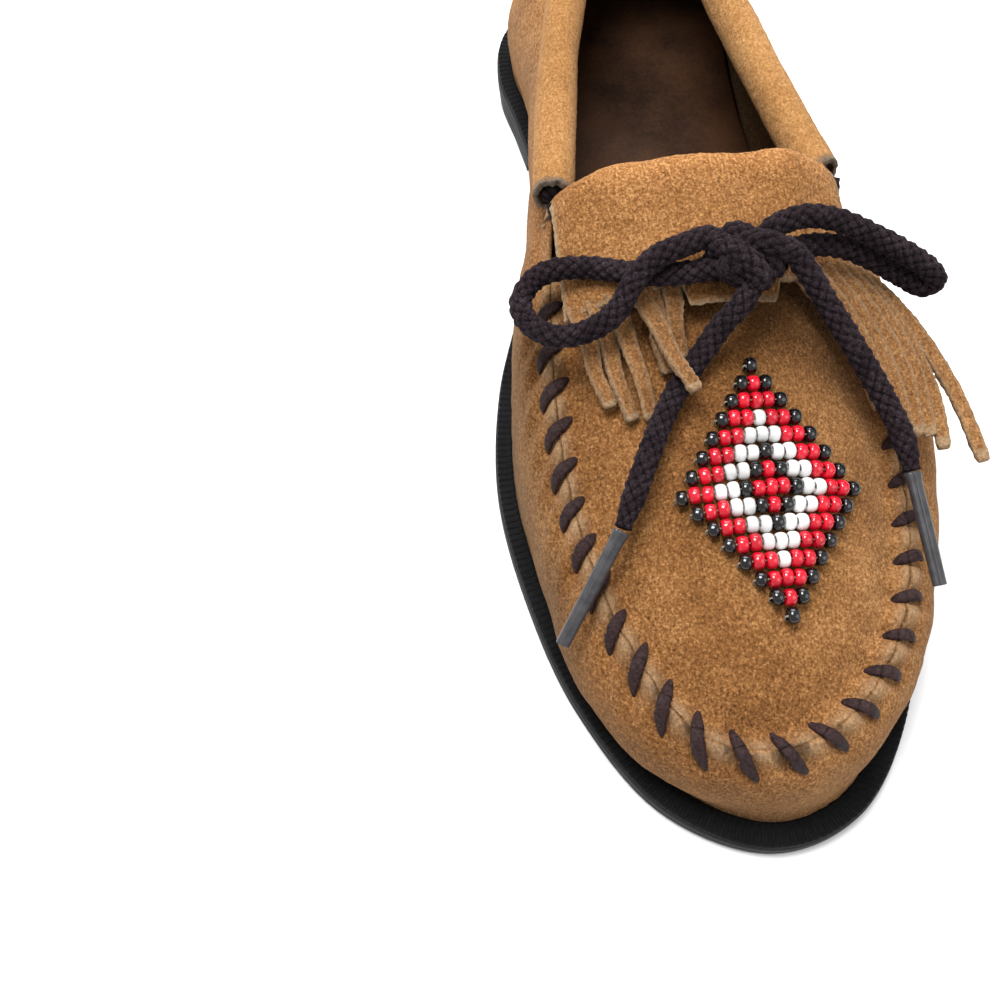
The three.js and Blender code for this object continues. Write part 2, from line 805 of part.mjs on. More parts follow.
// A string of beads that lies across the instep: wide at each bead's middle, narrow between two.
function beadString({ y, beads }) {
  const halves = 2 * beads.length;
  const points = [];
  for (let i = 0; i <= halves; i++) {
    const x = ORNAMENT[0] + ((i - beads.length) * BEAD_PITCH) / 2;
    const slope = 2 * INSTEP_DROOP * x;
    const lift = (BEAD_RADIUS + GAP) * Math.hypot(1, slope);
    points.push(new THREE.Vector3(x, y, instep(x, y) + lift));
  }
  const radius = (i) => BEAD_RADIUS * (i % 2 ? 1 : BEAD_WAIST);
  return loft(roundRings(new THREE.CatmullRomCurve3(points), radius, halves, 6));
}

// ---- Assembly ----
const moccasin = new THREE.Group();
const pieces = new THREE.Group();
moccasin.add(pieces);

function add(name, manifold, colour) {
  const [hex, roughness] = COLOURS[colour];
  const material = new THREE.MeshStandardMaterial({ color: hex, roughness, metalness: 0 });
  const mesh = new THREE.Mesh(geometryOf(manifold), material);
  mesh.name = name;
  pieces.add(mesh);
}

add("outsole", outsole(), "rubber");
add("heel_block", heelBlock(), "rubber");
add("welt", welt(), "rubber");
add("bottom_filler", layer(FEATHER_INSET + LASTING_MARGIN + GAP, FEATHER_Z, SUEDE), "foam");
add("insole_board", layer(INSIDE, BOARD_Z, BOARD), "board");
add("insole_foam", layer(INSIDE + 0.3, FOAM_Z, FOAM), "foam");
add("sock_lining", layer(INSIDE + 0.3, SOCK_Z, SOCK_LINING), "leather");

const holes = thongHoles();
add("upper_wall", upperWall().subtract(holes), "suede");
add("plug", plug().subtract(holes), "suede");
add("whipstitch_thong", loft(thongRings(0)), "thong");
const COUNTER_DEPTH = SUEDE + 3 * GAP;
add("heel_counter", heelShell(COUNTER_DEPTH, COUNTER, 0.095, 0.2, 0.8), "board");
const LINING_DEPTH = COUNTER_DEPTH + COUNTER + 2 * GAP;
add("counter_lining", heelShell(LINING_DEPTH, SOCK_LINING, 0.105, 0.2, 1), "leather");
add("tongue", tongue(), "suede");
add("fringe_flap", fringeFlap(), "suede");
add("collar_casing", collarCasing(), "suede");

add("lace_in_casing", loft(roundRings(casingRoute(), LACE_RADIUS, 32, 8)), "lace");
for (const [name, points] of Object.entries(LACE_ROUTES)) {
  add(name, cord(points, LACE_RADIUS, 2 * points.length), "lace");
}
add("lace_knot", knot(), "lace");
for (const [name, points] of Object.entries(AGLETS)) {
  add(name, cord(points, AGLET_RADIUS, 1, 10), "plastic");
}
for (const row of beadRows()) add(row.name, beadString(row), row.colour);

// The frame's origin is under the middle of the whole shoe.
const box = new THREE.Box3().setFromObject(pieces);
pieces.position.x = -(box.min.x + box.max.x) / 2;

export default moccasin;
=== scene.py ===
"""A beaded suede moccasin for the left foot, on a rubber sole.

Shapes are worked out in millimetres from the stations below, as in the CAD model, and become
metres only when a mesh is made: +Z up, the toe towards -Y, the inner side of the foot towards -X.
"""

import math

import bmesh
import bpy
import numpy as np
from mathutils import Matrix, Vector, noise


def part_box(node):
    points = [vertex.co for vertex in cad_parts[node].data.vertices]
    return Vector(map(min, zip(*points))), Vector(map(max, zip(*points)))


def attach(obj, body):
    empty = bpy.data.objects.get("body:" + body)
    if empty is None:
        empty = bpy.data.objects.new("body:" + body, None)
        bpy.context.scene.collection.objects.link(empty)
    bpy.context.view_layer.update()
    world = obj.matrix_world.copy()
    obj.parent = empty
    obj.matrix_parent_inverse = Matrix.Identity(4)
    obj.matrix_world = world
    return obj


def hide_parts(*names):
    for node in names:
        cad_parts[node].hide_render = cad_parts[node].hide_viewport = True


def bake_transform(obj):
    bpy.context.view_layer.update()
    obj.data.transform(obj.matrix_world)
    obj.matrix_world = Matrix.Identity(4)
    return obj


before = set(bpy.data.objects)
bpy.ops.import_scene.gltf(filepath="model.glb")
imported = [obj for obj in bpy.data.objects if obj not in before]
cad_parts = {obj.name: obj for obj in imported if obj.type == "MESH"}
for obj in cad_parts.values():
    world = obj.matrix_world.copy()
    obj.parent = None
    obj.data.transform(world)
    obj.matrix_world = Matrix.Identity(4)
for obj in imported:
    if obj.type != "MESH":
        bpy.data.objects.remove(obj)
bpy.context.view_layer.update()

# ---- Driving dimensions, in millimetres ----
MM = 0.001
SOLE_INNER_EDGE = -51.0  # where the stations put it, before the shoe is centred
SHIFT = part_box("outsole")[0][0] / MM - SOLE_INNER_EDGE
GAP = 0.3
SUEDE = 1.6
OUTSOLE = 4.5
HEEL_RISE = 5.0
WELT_WIDTH = 4.0
WELT_HEIGHT = 1.5
FEATHER_INSET = WELT_WIDTH + 2 * GAP
LASTING_MARGIN = 9.0
COUNTER = 1.2
CASING_RADIUS = 5.3
LACE_RADIUS = 2.5
BEAD_RADIUS = 1.85
BEAD_PITCH = 2.7
BEAD_ROW = 3.9
STITCH_COUNT = 28
RIDGE = 2.5  # height of the puckered seam over the plug

# Sole edge x and y, rim of the upper x and y, and how far the wall bulges over its foot, from
# the heel by the inner side to the toe and back.
STATIONS = np.array([
    [0, 132, 0, 116, 1.5],
    [-22, 127.5, -9.5, 110.5, 1.5],
    [-34, 114.5, -15, 100, 1.5],
    [-36.5, 98, -18.5, 89, 1.5],
    [-33.5, 81, -21.5, 75, 2.5],
    [-31, 63, -25.5, 58, 3],
    [-32.5, 43, -28.5, 40, 3.2],
    [-39, 19, -31.5, 20, 1.5],
    [-47.5, -8, -35.5, -6, 0.5],
    [-51, -38, -37.5, -38, 0],
    [-47, -68, -35.5, -67, 1],
    [-38.5, -96, -29, -92, 2.8],
    [-22.5, -121, -16.5, -112.8, 1.5],
    [0, -132, -1, -117.3, -1],
    [20.5, -126.5, 14, -112, -1],
    [36.5, -106, 28, -96.6, 0.5],
    [45.5, -76, 36, -75, 3],
    [48, -42, 38.5, -42, 7],
    [46, -8, 36, -6, 5],
    [42, 22, 28.5, 20, 4],
    [38.5, 45, 24.5, 40, 4.5],
    [36.5, 65, 21, 58, 4],
    [36.5, 84, 18, 75, 3],
    [37, 99, 17, 89, 2],
    [34, 115, 15, 100, 1.5],
    [22, 127.5, 9.5, 110.5, 1.5],
])
THROAT_Y = -4.0
# Heights along the shoe, as y and z: the crest of the instep, how it falls off to its sides, and
# the middle of the rolled collar.
INSTEP_LINE = [
    (-121, 28.5), (-110, 34), (-98, 38.5), (-80, 43), (-55, 47.5), (-25, 53.5), (0, 58), (16, 60),
]
INSTEP_DROOP = 0.0096
COLLAR_LINE = [(8, 55), (40, 56), (75, 57.5), (98, 60), (118, 62.5)]

# ---- Camera ----
CAMERA_AT = (-65.1, -176.9, 274.5)
CAMERA_FORWARD = Vector((0.0475, 0.4515, -0.8910))
CAMERA_UP = Vector((0.0931, 0.8861, 0.4540))
CAMERA_LENS = 43.45


def add_camera():
    camera = bpy.data.objects.new("camera", bpy.data.cameras.new("camera"))
    bpy.context.scene.collection.objects.link(camera)
    camera.data.lens = CAMERA_LENS
    camera.data.sensor_width = 36
    camera.data.clip_start = 0.01
    back = -CAMERA_FORWARD.normalized()
    right = CAMERA_UP.cross(back).normalized()
    up = back.cross(right)
    turn = Matrix((right, up, back)).transposed().to_4x4()
    x, y, z = CAMERA_AT
    turn.translation = Vector((x + SHIFT, y, z)) * MM
    camera.matrix_world = turn
    bpy.context.scene.camera = camera


# ---- Curves and heights ----
def spline(points, t, closed=False):
    """Points of a smooth curve through the given ones, at shares t of the way along."""
    p = np.asarray(points, float)
    n = len(p)
    spans = n if closed else n - 1
    at = np.asarray(t, float) * spans
    if closed:
        at = at % n
        i = np.floor(at).astype(int) % n
        p0, p1, p2, p3 = (p[(i + k) % n] for k in (-1, 0, 1, 2))
    else:
        i = np.clip(np.floor(at).astype(int), 0, spans - 1)
        padded = np.vstack([2 * p[0] - p[1], p, 2 * p[-1] - p[-2]])
        p0, p1, p2, p3 = (padded[i + k] for k in (0, 1, 2, 3))
    w = (at - np.floor(at) if closed else at - i)[..., None]

    def knot(a, b):
        return ((a - b) ** 2).sum(-1, keepdims=True) ** 0.25

    d0, d1, d2 = knot(p0, p1), knot(p1, p2), knot(p2, p3)
    m1 = ((p1 - p0) / d0 - (p2 - p0) / (d0 + d1) + (p2 - p1) / d1) * d1
    m2 = ((p2 - p1) / d1 - (p3 - p1) / (d1 + d2) + (p3 - p2) / d2) * d1
    c = 3 * (p2 - p1) - 2 * m1 - m2
    d = 2 * (p1 - p2) + m1 + m2
    return p1 + m1 * w + c * w**2 + d * w**3


def height_along(pairs):
    points = spline(pairs, np.linspace(0, 1, 12 * len(pairs)))
    return lambda place: np.interp(place, points[:, 0], points[:, 1])


def smooth(low, high, value):
    share = np.clip((np.asarray(value, float) - low) / (high - low), 0, 1)
    return share * share * (3 - 2 * share)


def mix(a, b, share):
    return a + (b - a) * share


def rise(y):
    return HEEL_RISE * smooth(-10, 66, y)


instep_line = height_along(INSTEP_LINE)
collar_line = height_along(COLLAR_LINE)


def instep(x, y):
    return instep_line(y) - INSTEP_DROOP * np.asarray(x) ** 2


def sole_at(t):
    return spline(STATIONS[:, [0, 1, 4]], t, closed=True)


def rim_at(t):
    return spline(STATIONS[:, [2, 3]], t, closed=True)


def outward(curve, t):
    """Unit vectors in the plan that point out of a closed curve."""
    step = 1e-4
    ahead = curve(np.asarray(t) + step)[..., :2] - curve(np.asarray(t) - step)[..., :2]
    out = np.stack([ahead[..., 1], -ahead[..., 0]], -1)
    return out / np.linalg.norm(out, axis=-1, keepdims=True)


def upright(plan, z=0.0):
    """Plan points or directions as points or directions in space."""
    plan = np.asarray(plan)
    return np.concatenate([plan, np.broadcast_to(np.asarray(z)[..., None], plan.shape[:-1] + (1,))], -1)


def lumps(points, size, seed=0.0):
    """Smooth noise from -1 to 1 at each point, with lumps about size millimetres across."""
    flat = np.asarray(points, float).reshape(-1, 3) / size + seed
    values = np.fromiter((noise.noise(p) for p in flat.tolist()), float, len(flat))
    return values.reshape(np.asarray(points).shape[:-1])


def relief(points, *layers):
    """Lumps of several sizes added up; a layer is their height, size and seed."""
    return sum(height * lumps(points, size, seed) for height, size, seed in layers)


def unit(vectors):
    return vectors / np.maximum(np.linalg.norm(vectors, axis=-1, keepdims=True), 1e-9)


def bell(value, width):
    """1 where the value is 0, and next to nothing a few widths away."""
    return np.exp(-((value / width) ** 2))


def round_angles(sides):
    return np.linspace(0, 2 * math.pi, sides, endpoint=False)


def round_shares(steps):
    """Shares of the way round a closed curve."""
    return np.linspace(0, 1, steps, endpoint=False)


def directions(path):
    return unit(np.gradient(path, axis=0))


def distances(points):
    """How far along a line each of its points is."""
    return np.concatenate([[0], np.cumsum(np.linalg.norm(np.diff(points, axis=0), axis=1))])


def evenly(points, steps):
    """Points at equal distances along a line of many, with their distances from its start."""
    lengths = distances(points)
    wanted = np.linspace(0, lengths[-1], steps)
    return np.stack([np.interp(wanted, lengths, points[:, k]) for k in range(3)], 1), wanted


def along(points, steps):
    """The same, along the smooth curve through a few points."""
    return evenly(spline(points, np.linspace(0, 1, 60 * len(points))), steps)


def grid_normals(grid, out=None):
    """Normals of a grid of points; out holds a direction for each row that they should face."""
    normal = unit(np.cross(np.gradient(grid, axis=0), np.gradient(grid, axis=1)))
    if out is None:
        return normal
    return normal * np.sign((normal * out[:, None]).sum(-1, keepdims=True) + 1e-6)


# ---- Meshes ----
def grid_faces(rows, columns, wrap_rows=False, wrap_columns=False, first=0):
    i, j = np.meshgrid(
        np.arange(rows if wrap_rows else rows - 1),
        np.arange(columns if wrap_columns else columns - 1),
        indexing="ij",
    )
    next_i, next_j = (i + 1) % rows, (j + 1) % columns
    corners = [i * columns + j, i * columns + next_j, next_i * columns + next_j, next_i * columns + j]
    return np.stack(corners, -1).reshape(-1, 4) + first


class Parts:
    """Collects grids of points in millimetres into one mesh."""

    def __init__(self):
        self.points, self.faces, self.worn, self.slots = [], [], [], []
        self.count = 0

    def grid(self, grid, wrap_rows=False, wrap_columns=False, worn=0.0, slot=0, ends=False):
        rows, columns = grid.shape[:2]
        faces = grid_faces(rows, columns, wrap_rows, wrap_columns, self.count).tolist()
        if ends:
            faces.append([self.count + j for j in range(columns)][::-1])
            faces.append([self.count + (rows - 1) * columns + j for j in range(columns)])
        self.points.append(grid.reshape(-1, 3))
        self.worn.append(np.broadcast_to(worn, grid.shape[:2]).reshape(-1))
        self.faces.extend(faces)
        self.slots.extend([slot] * len(faces))
        self.count += rows * columns

    def slab(self, top, bottom, worn=0.0, edge_worn=0.0, slot=0):
        """A closed sheet between two grids; its edges join their outer rows and columns."""
        ring = np.concatenate([
            np.stack([top[:, 0], bottom[:, 0]], 1),
            np.stack([top[-1, 1:], bottom[-1, 1:]], 1),
            np.stack([top[:-1, -1], bottom[:-1, -1]], 1)[::-1],
            np.stack([top[0, 1:-1], bottom[0, 1:-1]], 1)[::-1],
        ])
        self.grid(top, worn=worn, slot=slot)
        self.grid(bottom, worn=worn, slot=slot)
        self.grid(ring, wrap_rows=True, worn=edge_worn, slot=slot)

    def build(self, name, *materials):
        mesh = bpy.data.meshes.new(name)
        points = np.concatenate(self.points)
        points = (points + (SHIFT, 0, 0)) * MM
        mesh.from_pydata(points.tolist(), [], self.faces)
        mesh.attributes.new("worn", "FLOAT", "POINT").data.foreach_set("value", np.concatenate(self.worn))
        for material in materials:
            mesh.materials.append(material)
        mesh.polygons.foreach_set("material_index", self.slots)
        mesh.polygons.foreach_set("use_smooth", [True] * len(self.faces))
        piece = bpy.data.objects.new(name, mesh)
        bpy.context.scene.collection.objects.link(piece)
        tidy(piece)
        return piece


def tidy(piece):
    """Welds points that coincide and turns every face outwards."""
    work = bmesh.new()
    work.from_mesh(piece.data)
    bmesh.ops.remove_doubles(work, verts=work.verts, dist=2e-6)
    bmesh.ops.dissolve_degenerate(work, edges=work.edges, dist=1e-7)
    bmesh.ops.recalc_face_normals(work, faces=work.faces)
    work.to_mesh(piece.data)
    work.free()


def carried_frames(path):
    """Side and top directions carried along a path without twist."""
    tangents = directions(path)
    side = unit(np.cross(tangents[0], (0, 0, 1) if abs(tangents[0][2]) < 0.9 else (0, 1, 0)))
    sides = []
    for tangent in tangents:
        side = unit(side - tangent * np.dot(side, tangent))
        sides.append(side)
    sides = np.array(sides)
    return sides, unit(np.cross(sides, tangents))


def sweep(path, radii, sides, frames=None):
    """Rings of a round section; radii is one number, or one for each ring and side."""
    side, top = frames or carried_frames(path)
    angle = round_angles(sides)
    radii = np.broadcast_to(radii, (len(path), sides))[..., None]
    around = side[:, None] * np.cos(angle)[None, :, None] + top[:, None] * np.sin(angle)[None, :, None]
    return path[:, None] + around * radii


# ---- Materials ----
class Nodes:
    """A short way to write a material's nodes."""

    def __init__(self, name):
        self.material = bpy.data.materials.new(name)
        self.material.use_nodes = True
        self.tree = self.material.node_tree
        self.shader = self.tree.nodes["Principled BSDF"]
        self.place = self.tree.nodes.new("ShaderNodeTexCoord").outputs["Object"]

    def link(self, value, socket):
        if hasattr(value, "links"):
            self.tree.links.new(value, socket)
        else:
            socket.default_value = value

    def noise(self, size, detail=3.0, roughness=0.5, stretch=None, distortion=0.0):
        """Noise from 0 to 1 with lumps about size millimetres across."""
        node = self.tree.nodes.new("ShaderNodeTexNoise")
        place = self.place
        if stretch:
            mapping = self.tree.nodes.new("ShaderNodeMapping")
            self.tree.links.new(place, mapping.inputs["Vector"])
            mapping.inputs["Scale"].default_value = stretch
            place = mapping.outputs["Vector"]
        self.tree.links.new(place, node.inputs["Vector"])
        node.inputs["Scale"].default_value = 0.6 / (size * MM)
        node.inputs["Detail"].default_value = detail
        node.inputs["Roughness"].default_value = roughness
        node.inputs["Distortion"].default_value = distortion
        return node.outputs["Fac"]

    def attribute(self, name):
        node = self.tree.nodes.new("ShaderNodeAttribute")
        node.attribute_name = name
        return node.outputs["Fac"]

    def math(self, operation, a, b=0.0, clamp=False):
        node = self.tree.nodes.new("ShaderNodeMath")
        node.operation = operation
        node.use_clamp = clamp
        self.link(a, node.inputs[0])
        self.link(b, node.inputs[1])
        return node.outputs[0]

    def total(self, *terms):
        """Adds up values, each times its share."""
        scaled = [self.math("MULTIPLY", value, share) for value, share in terms]
        result = scaled[0]
        for term in scaled[1:]:
            result = self.math("ADD", result, term)
        return result

    def ramp(self, value, *stops):
        node = self.tree.nodes.new("ShaderNodeValToRGB")
        elements = node.color_ramp.elements
        while len(elements) < len(stops):
            elements.new(0.5)
        for element, (place, colour) in zip(elements, stops):
            element.position = place
            element.color = colour if len(colour) == 4 else (*colour, 1)
        self.link(value, node.inputs[0])
        return node.outputs[0]

    def blend(self, share, a, b):
        node = self.tree.nodes.new("ShaderNodeMix")
        node.data_type = "RGBA"
        self.link(share, node.inputs[0])
        self.link(a if hasattr(a, "links") else (*a, 1), node.inputs[6])
        self.link(b if hasattr(b, "links") else (*b, 1), node.inputs[7])
        return node.outputs[2]

    def bump(self, *layers):
        """Stacks bumps of (height, depth in millimetres, strength) onto the shader."""
        normal = None
        for height, depth, strength in layers:
            node = self.tree.nodes.new("ShaderNodeBump")
            node.inputs["Strength"].default_value = strength
            node.inputs["Distance"].default_value = depth * MM
            self.link(height, node.inputs["Height"])
            if normal:
                self.tree.links.new(normal, node.inputs["Normal"])
            normal = node.outputs[0]
        self.tree.links.new(normal, self.shader.inputs["Normal"])

    def finish(self, colour, roughness, **constants):
        self.link(colour if hasattr(colour, "links") else (*colour, 1), self.shader.inputs["Base Color"])
        self.link(roughness, self.shader.inputs["Roughness"])
        for name, value in constants.items():
            self.shader.inputs[name.replace("_", " ")].default_value = value
        return self.material


def suede_material(name, dark, middle, light, pale):
    """Napped leather: fibres of many tones, larger brushed patches, pale edges from wear, and painted light
    and shade.
    """
    n = Nodes(name)
    fibre = n.noise(0.34, 4, 0.65, distortion=0.6)
    strand = n.noise(0.55, 2, 0.5, stretch=(1.6, 0.7, 1.0))
    patch = n.noise(12, 4, 0.6)
    region = n.noise(38, 2)
    tone = n.total((fibre, 0.50), (strand, 0.20), (patch, 0.17), (region, 0.13))
    colour = n.ramp(tone, (0.38, dark), (0.5, middle), (0.63, light))
    worn = n.math("MULTIPLY", n.attribute("worn"), n.math("ADD", n.noise(1.6, 3), 0.45), clamp=True)
    frayed = n.ramp(n.noise(0.4, 3, 0.7), (0.35, tuple(0.45 * c for c in pale)), (0.6, pale))
    colour = n.blend(worn, colour, frayed)
    # Painted light and shade: each piece's attribute scales the colour's value, below 1 for painted shade
    # and above 1 for painted light.
    painted_light = n.math("ADD", 1.0, n.attribute("painted_light"))
    value = n.tree.nodes.new("ShaderNodeHueSaturation")
    n.link(painted_light, value.inputs["Value"])
    n.link(colour, value.inputs["Color"])
    n.bump((patch, 0.4, 0.2), (fibre, 0.40, 0.9), (n.noise(0.2, 2), 0.12, 0.5))
    return n.finish(
        value.outputs[0], 0.97, Sheen_Weight=0.12, Sheen_Roughness=0.5,
        Sheen_Tint=(1.0, 0.8, 0.55, 1), Specular_IOR_Level=0.06,
    )


def lace_material():
    """Fuzzy cotton braid in a dark aubergine, with painted shade near black between its strands."""
    n = Nodes("lace_cotton")
    fuzz = n.noise(0.3, 4, 0.7)
    tone = n.total((fuzz, 0.7), (n.noise(3, 3), 0.3))
    black, aubergine, grey = (0.005, 0.003, 0.004), (0.021, 0.014, 0.017), (0.056, 0.044, 0.050)
    colour = n.ramp(tone, (0.36, black), (0.52, aubergine), (0.70, grey))
    # Painted shade: near black in the grooves between the strands, where the attribute is 0.
    colour = n.blend(n.attribute("worn"), (0.0015, 0.001, 0.0012), colour)
    n.bump((fuzz, 0.3, 0.9))
    return n.finish(
        colour, 0.97, Sheen_Weight=0.05, Sheen_Roughness=0.5,
        Sheen_Tint=(0.6, 0.5, 0.56, 1), Specular_IOR_Level=0.04,
    )


def thong_material():
    n = Nodes("thong_leather")
    grain = n.noise(0.4, 4, 0.6)
    colour = n.ramp(grain, (0.35, (0.009, 0.004, 0.004)), (0.65, (0.036, 0.017, 0.017)))
    n.bump((grain, 0.12, 0.8), (n.noise(0.9, 2), 0.2, 0.5))
    return n.finish(colour, 0.75, Specular_IOR_Level=0.2)


def rubber_material(name, dark, light, roughness, specular):
    n = Nodes(name)
    grain = n.noise(0.5, 3)
    tone = n.total((grain, 0.5), (n.noise(14, 4), 0.5))
    colour = n.ramp(tone, (0.35, dark), (0.65, light))
    n.bump((grain, 0.05, 0.5), (n.noise(5, 3), 0.2, 0.25))
    scuffs = n.math("MULTIPLY", n.noise(8, 4), 0.25)
    return n.finish(colour, n.math("ADD", scuffs, roughness - 0.12), Specular_IOR_Level=specular)


def leather_material(name, dark, light, roughness):
    """Smooth lining leather with fine pores and the shine of wear."""
    n = Nodes(name)
    pores = n.noise(0.6, 3, 0.6)
    tone = n.total((n.noise(18, 4, 0.6), 0.75), (pores, 0.25))
    colour = n.ramp(tone, (0.36, dark), (0.64, light))
    n.bump((pores, 0.08, 0.5), (n.noise(9, 3), 0.5, 0.3))
    shine = n.math("ADD", n.math("MULTIPLY", n.noise(12, 3), 0.3), roughness - 0.15)
    return n.finish(colour, shine, Specular_IOR_Level=0.12)


def bead_material(name, colour, roughness=0.12):
    """Opaque glass, a little darker and lighter from bead to bead."""
    n = Nodes(name)
    tone = n.noise(4.5, 1)
    dark, light = (tuple(k * c for c in colour) for k in (0.72, 1.15))
    n.bump((n.noise(1.2, 2), 0.06, 0.35))
    glass = n.ramp(tone, (0.35, dark), (0.65, light))
    return n.finish(glass, roughness, Coat_Weight=0.35, Coat_Roughness=0.05)


def plain_material(name, dark, light, roughness, size):
    n = Nodes(name)
    tone = n.noise(size, 4, 0.6)
    n.bump((tone, 0.1, 0.5))
    return n.finish(n.ramp(tone, (0.35, dark), (0.65, light)), roughness)


def floor_material():
    n = Nodes("floor_paper")
    tone = n.noise(40, 2)
    return n.finish(n.ramp(tone, (0.3, (0.86, 0.86, 0.86)), (0.7, (0.88, 0.88, 0.88))), 0.9)


TAN = suede_material(
    "suede_tan", (0.064, 0.024, 0.007), (0.200, 0.085, 0.026), (0.45, 0.236, 0.094), (0.38, 0.27, 0.165)
)
GOLDEN = suede_material(
    "suede_golden", (0.17, 0.076, 0.023), (0.32, 0.155, 0.052), (0.50, 0.285, 0.115), (0.13, 0.108, 0.085)
)
LACE = lace_material()
THONG = thong_material()
SOLE = rubber_material("sole_rubber", (0.007, 0.007, 0.007), (0.018, 0.018, 0.019), 0.65, 0.25)
WELT = rubber_material("welt_rubber", (0.002, 0.002, 0.002), (0.007, 0.007, 0.008), 0.7, 0.1)
LINING = leather_material("lining_leather", (0.013, 0.005, 0.002), (0.058, 0.024, 0.010), 0.6)
THREAD = plain_material("bead_thread", (0.17, 0.14, 0.10), (0.32, 0.28, 0.22), 0.8, 0.3)
AGLET = plain_material("aglet_plastic", (0.018, 0.018, 0.020), (0.042, 0.040, 0.044), 0.42, 1.5)
RED = bead_material("bead_red", (0.56, 0.005, 0.020))
WHITE = bead_material("bead_white", (0.70, 0.70, 0.69), 0.2)
BLACK = bead_material("bead_black", (0.003, 0.003, 0.004))
BOARD = plain_material("fibre_board", (0.30, 0.21, 0.12), (0.44, 0.33, 0.21), 0.9, 1.2)
FOAM = plain_material("cushion_foam", (0.55, 0.50, 0.40), (0.70, 0.66, 0.55), 0.95, 0.6)
FELT = plain_material("felt_filler", (0.09, 0.085, 0.08), (0.2, 0.19, 0.18), 0.95, 0.5)
for node, material in {
    "bottom_filler": FELT,
    "insole_board": BOARD,
    "insole_foam": FOAM,
    "heel_counter": BOARD,
}.items():
    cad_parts[node].data.materials.clear()
    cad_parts[node].data.materials.append(material)


def finish(parts, name, body, slot, *materials):
    """Builds a piece that moves with a body and stands for the CAD piece of the same name."""
    piece = parts.build(name, *materials)
    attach(piece, body)
    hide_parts(name)
    return piece


def grid_piece(grid, *what, **how):
    parts = Parts()
    parts.grid(grid, wrap_columns=True, **how)
    return finish(parts, *what)


def slab_piece(top, bottom, *what, **how):
    parts = Parts()
    parts.slab(top, bottom, **how)
    return finish(parts, *what)


def set_painted_light(piece, painted_light, inside=0.0):
    """Paints light and shade into a piece's suede point by point, darker below 0 and lighter above, and
    paints shade on its inner faces.
    """
    points = np.empty(3 * len(piece.data.vertices))
    piece.data.vertices.foreach_get("co", points)
    points = points.reshape(-1, 3) / MM - (SHIFT, 0, 0)
    # Painted shade on faces turned towards the middle of the shoe, as deep as inside.
    normals = np.empty(points.size)
    piece.data.vertex_normals.foreach_get("vector", normals)
    inward = -normals.reshape(-1, 3)[:, 0] * np.sign(points[:, 0])
    values = painted_light(points[:, 0], points[:, 1], points[:, 2]) - inside * smooth(0.15, 0.5, inward)
    piece.data.attributes.new("painted_light", "FLOAT", "POINT").data.foreach_set("value", values)


# ---- Lace ----
# Each side of the lace, from the collar's mouth under the flap and up through its hole, round
# its loop of the bow, back into the knot and out to its tip.
LACE_MEDIAL = [
    (-32.2, 10.6, 55), (-31.4, 8, 53.5), (-30.6, 5, 52), (-28.5, 0.5, 53.1), (-23.5, -5, 54.8),
    (-16.5, -10.3, 56.6), (-8, -13.8, 57.9), (-2.4, -15.4, 58.7), (-1, -15.5, 61.3), (-1, -15.7, 64),
    (-0.6, -15.3, 68), (-3.6, -15.4, 70.2), (-9.3, -16.9, 70), (-15.3, -18.7, 69),
    (-19.8, -21.8, 66), (-24.4, -26.4, 61), (-31.4, -28.3, 57.5), (-37.8, -26.6, 55),
    (-42.6, -21.3, 53.5), (-43.4, -15.3, 53.2), (-39.6, -10.8, 55), (-34.6, -10.5, 57.2),
    (-27.5, -12.4, 59.2), (-20.8, -16, 61.5), (-14.2, -19.1, 63.7), (-7.2, -20.2, 65),
    (-3.4, -20.6, 66), (1.2, -22, 67.5), (4.2, -25.4, 67.6), (2.6, -29.2, 65.6),
    (-1.5, -31.4, 61.2), (-5, -34.2, 57), (-8.8, -37.8, 54.1), (-12.6, -42.4, 53.2),
    (-17.4, -50, 52), (-23.4, -61.5, 49.4), (-28, -70.6, 46.4),
]
LACE_LATERAL = [
    (32.6, 10.6, 55), (32, 8, 54), (31.2, 5, 52.3), (28.7, 0.5, 53.1), (24.5, -5, 54.3),
    (19.5, -11, 55.4), (14.5, -15.8, 56.2), (11.1, -17.8, 56.7), (10, -18, 60.3),
    (9.8, -18.2, 63.8), (8.6, -16.8, 68.4), (10.4, -15.4, 71.4), (17.1, -13.6, 72.3),
    (24.9, -13.6, 70.3), (34.3, -15.8, 66.2), (41.4, -18, 62.5), (47, -20, 59),
    (49.4, -21.2, 55.8), (47.2, -20.9, 53.6), (42.7, -18.4, 54.8), (35.3, -16.4, 59),
    (28.1, -14.9, 62.4), (20.5, -15.5, 64.7), (12.8, -17.8, 66.4), (5.4, -18.6, 68.2),
    (3.6, -19, 71.8), (5.8, -20.4, 74.2), (9.4, -22.2, 74.2), (12.9, -22.6, 72.3),
    (16.2, -25.6, 69.2), (19.8, -30, 65), (24.2, -35.6, 60.2), (28.1, -42, 56.4),
    (31.1, -48.2, 53.5), (33.7, -54.7, 51), (34.9, -60, 49), (35.2, -64.1, 47.6),
]
AGLET_ENDS = {
    "aglet_medial": [(-28.3, -71.1, 46.1), (-42.8, -90.6, 34.5)],
    "aglet_lateral": [(35.3, -64.5, 47.4), (37.3, -87.8, 40.2)],
}
KNOT = (4.0, -20.5, 69.0)
STRANDS = 6  # strands of the braid that turn each way
PICK = 3.0  # length of one pick of the braid
BRAID_RELIEF = 0.24  # from its grooves to its crests, as a share of its radius
RING_STEP = 0.38  # from one ring of the lace's mesh to the next
TIP_TAPER = 0.28  # how far the lace is drawn in where it enters its tip


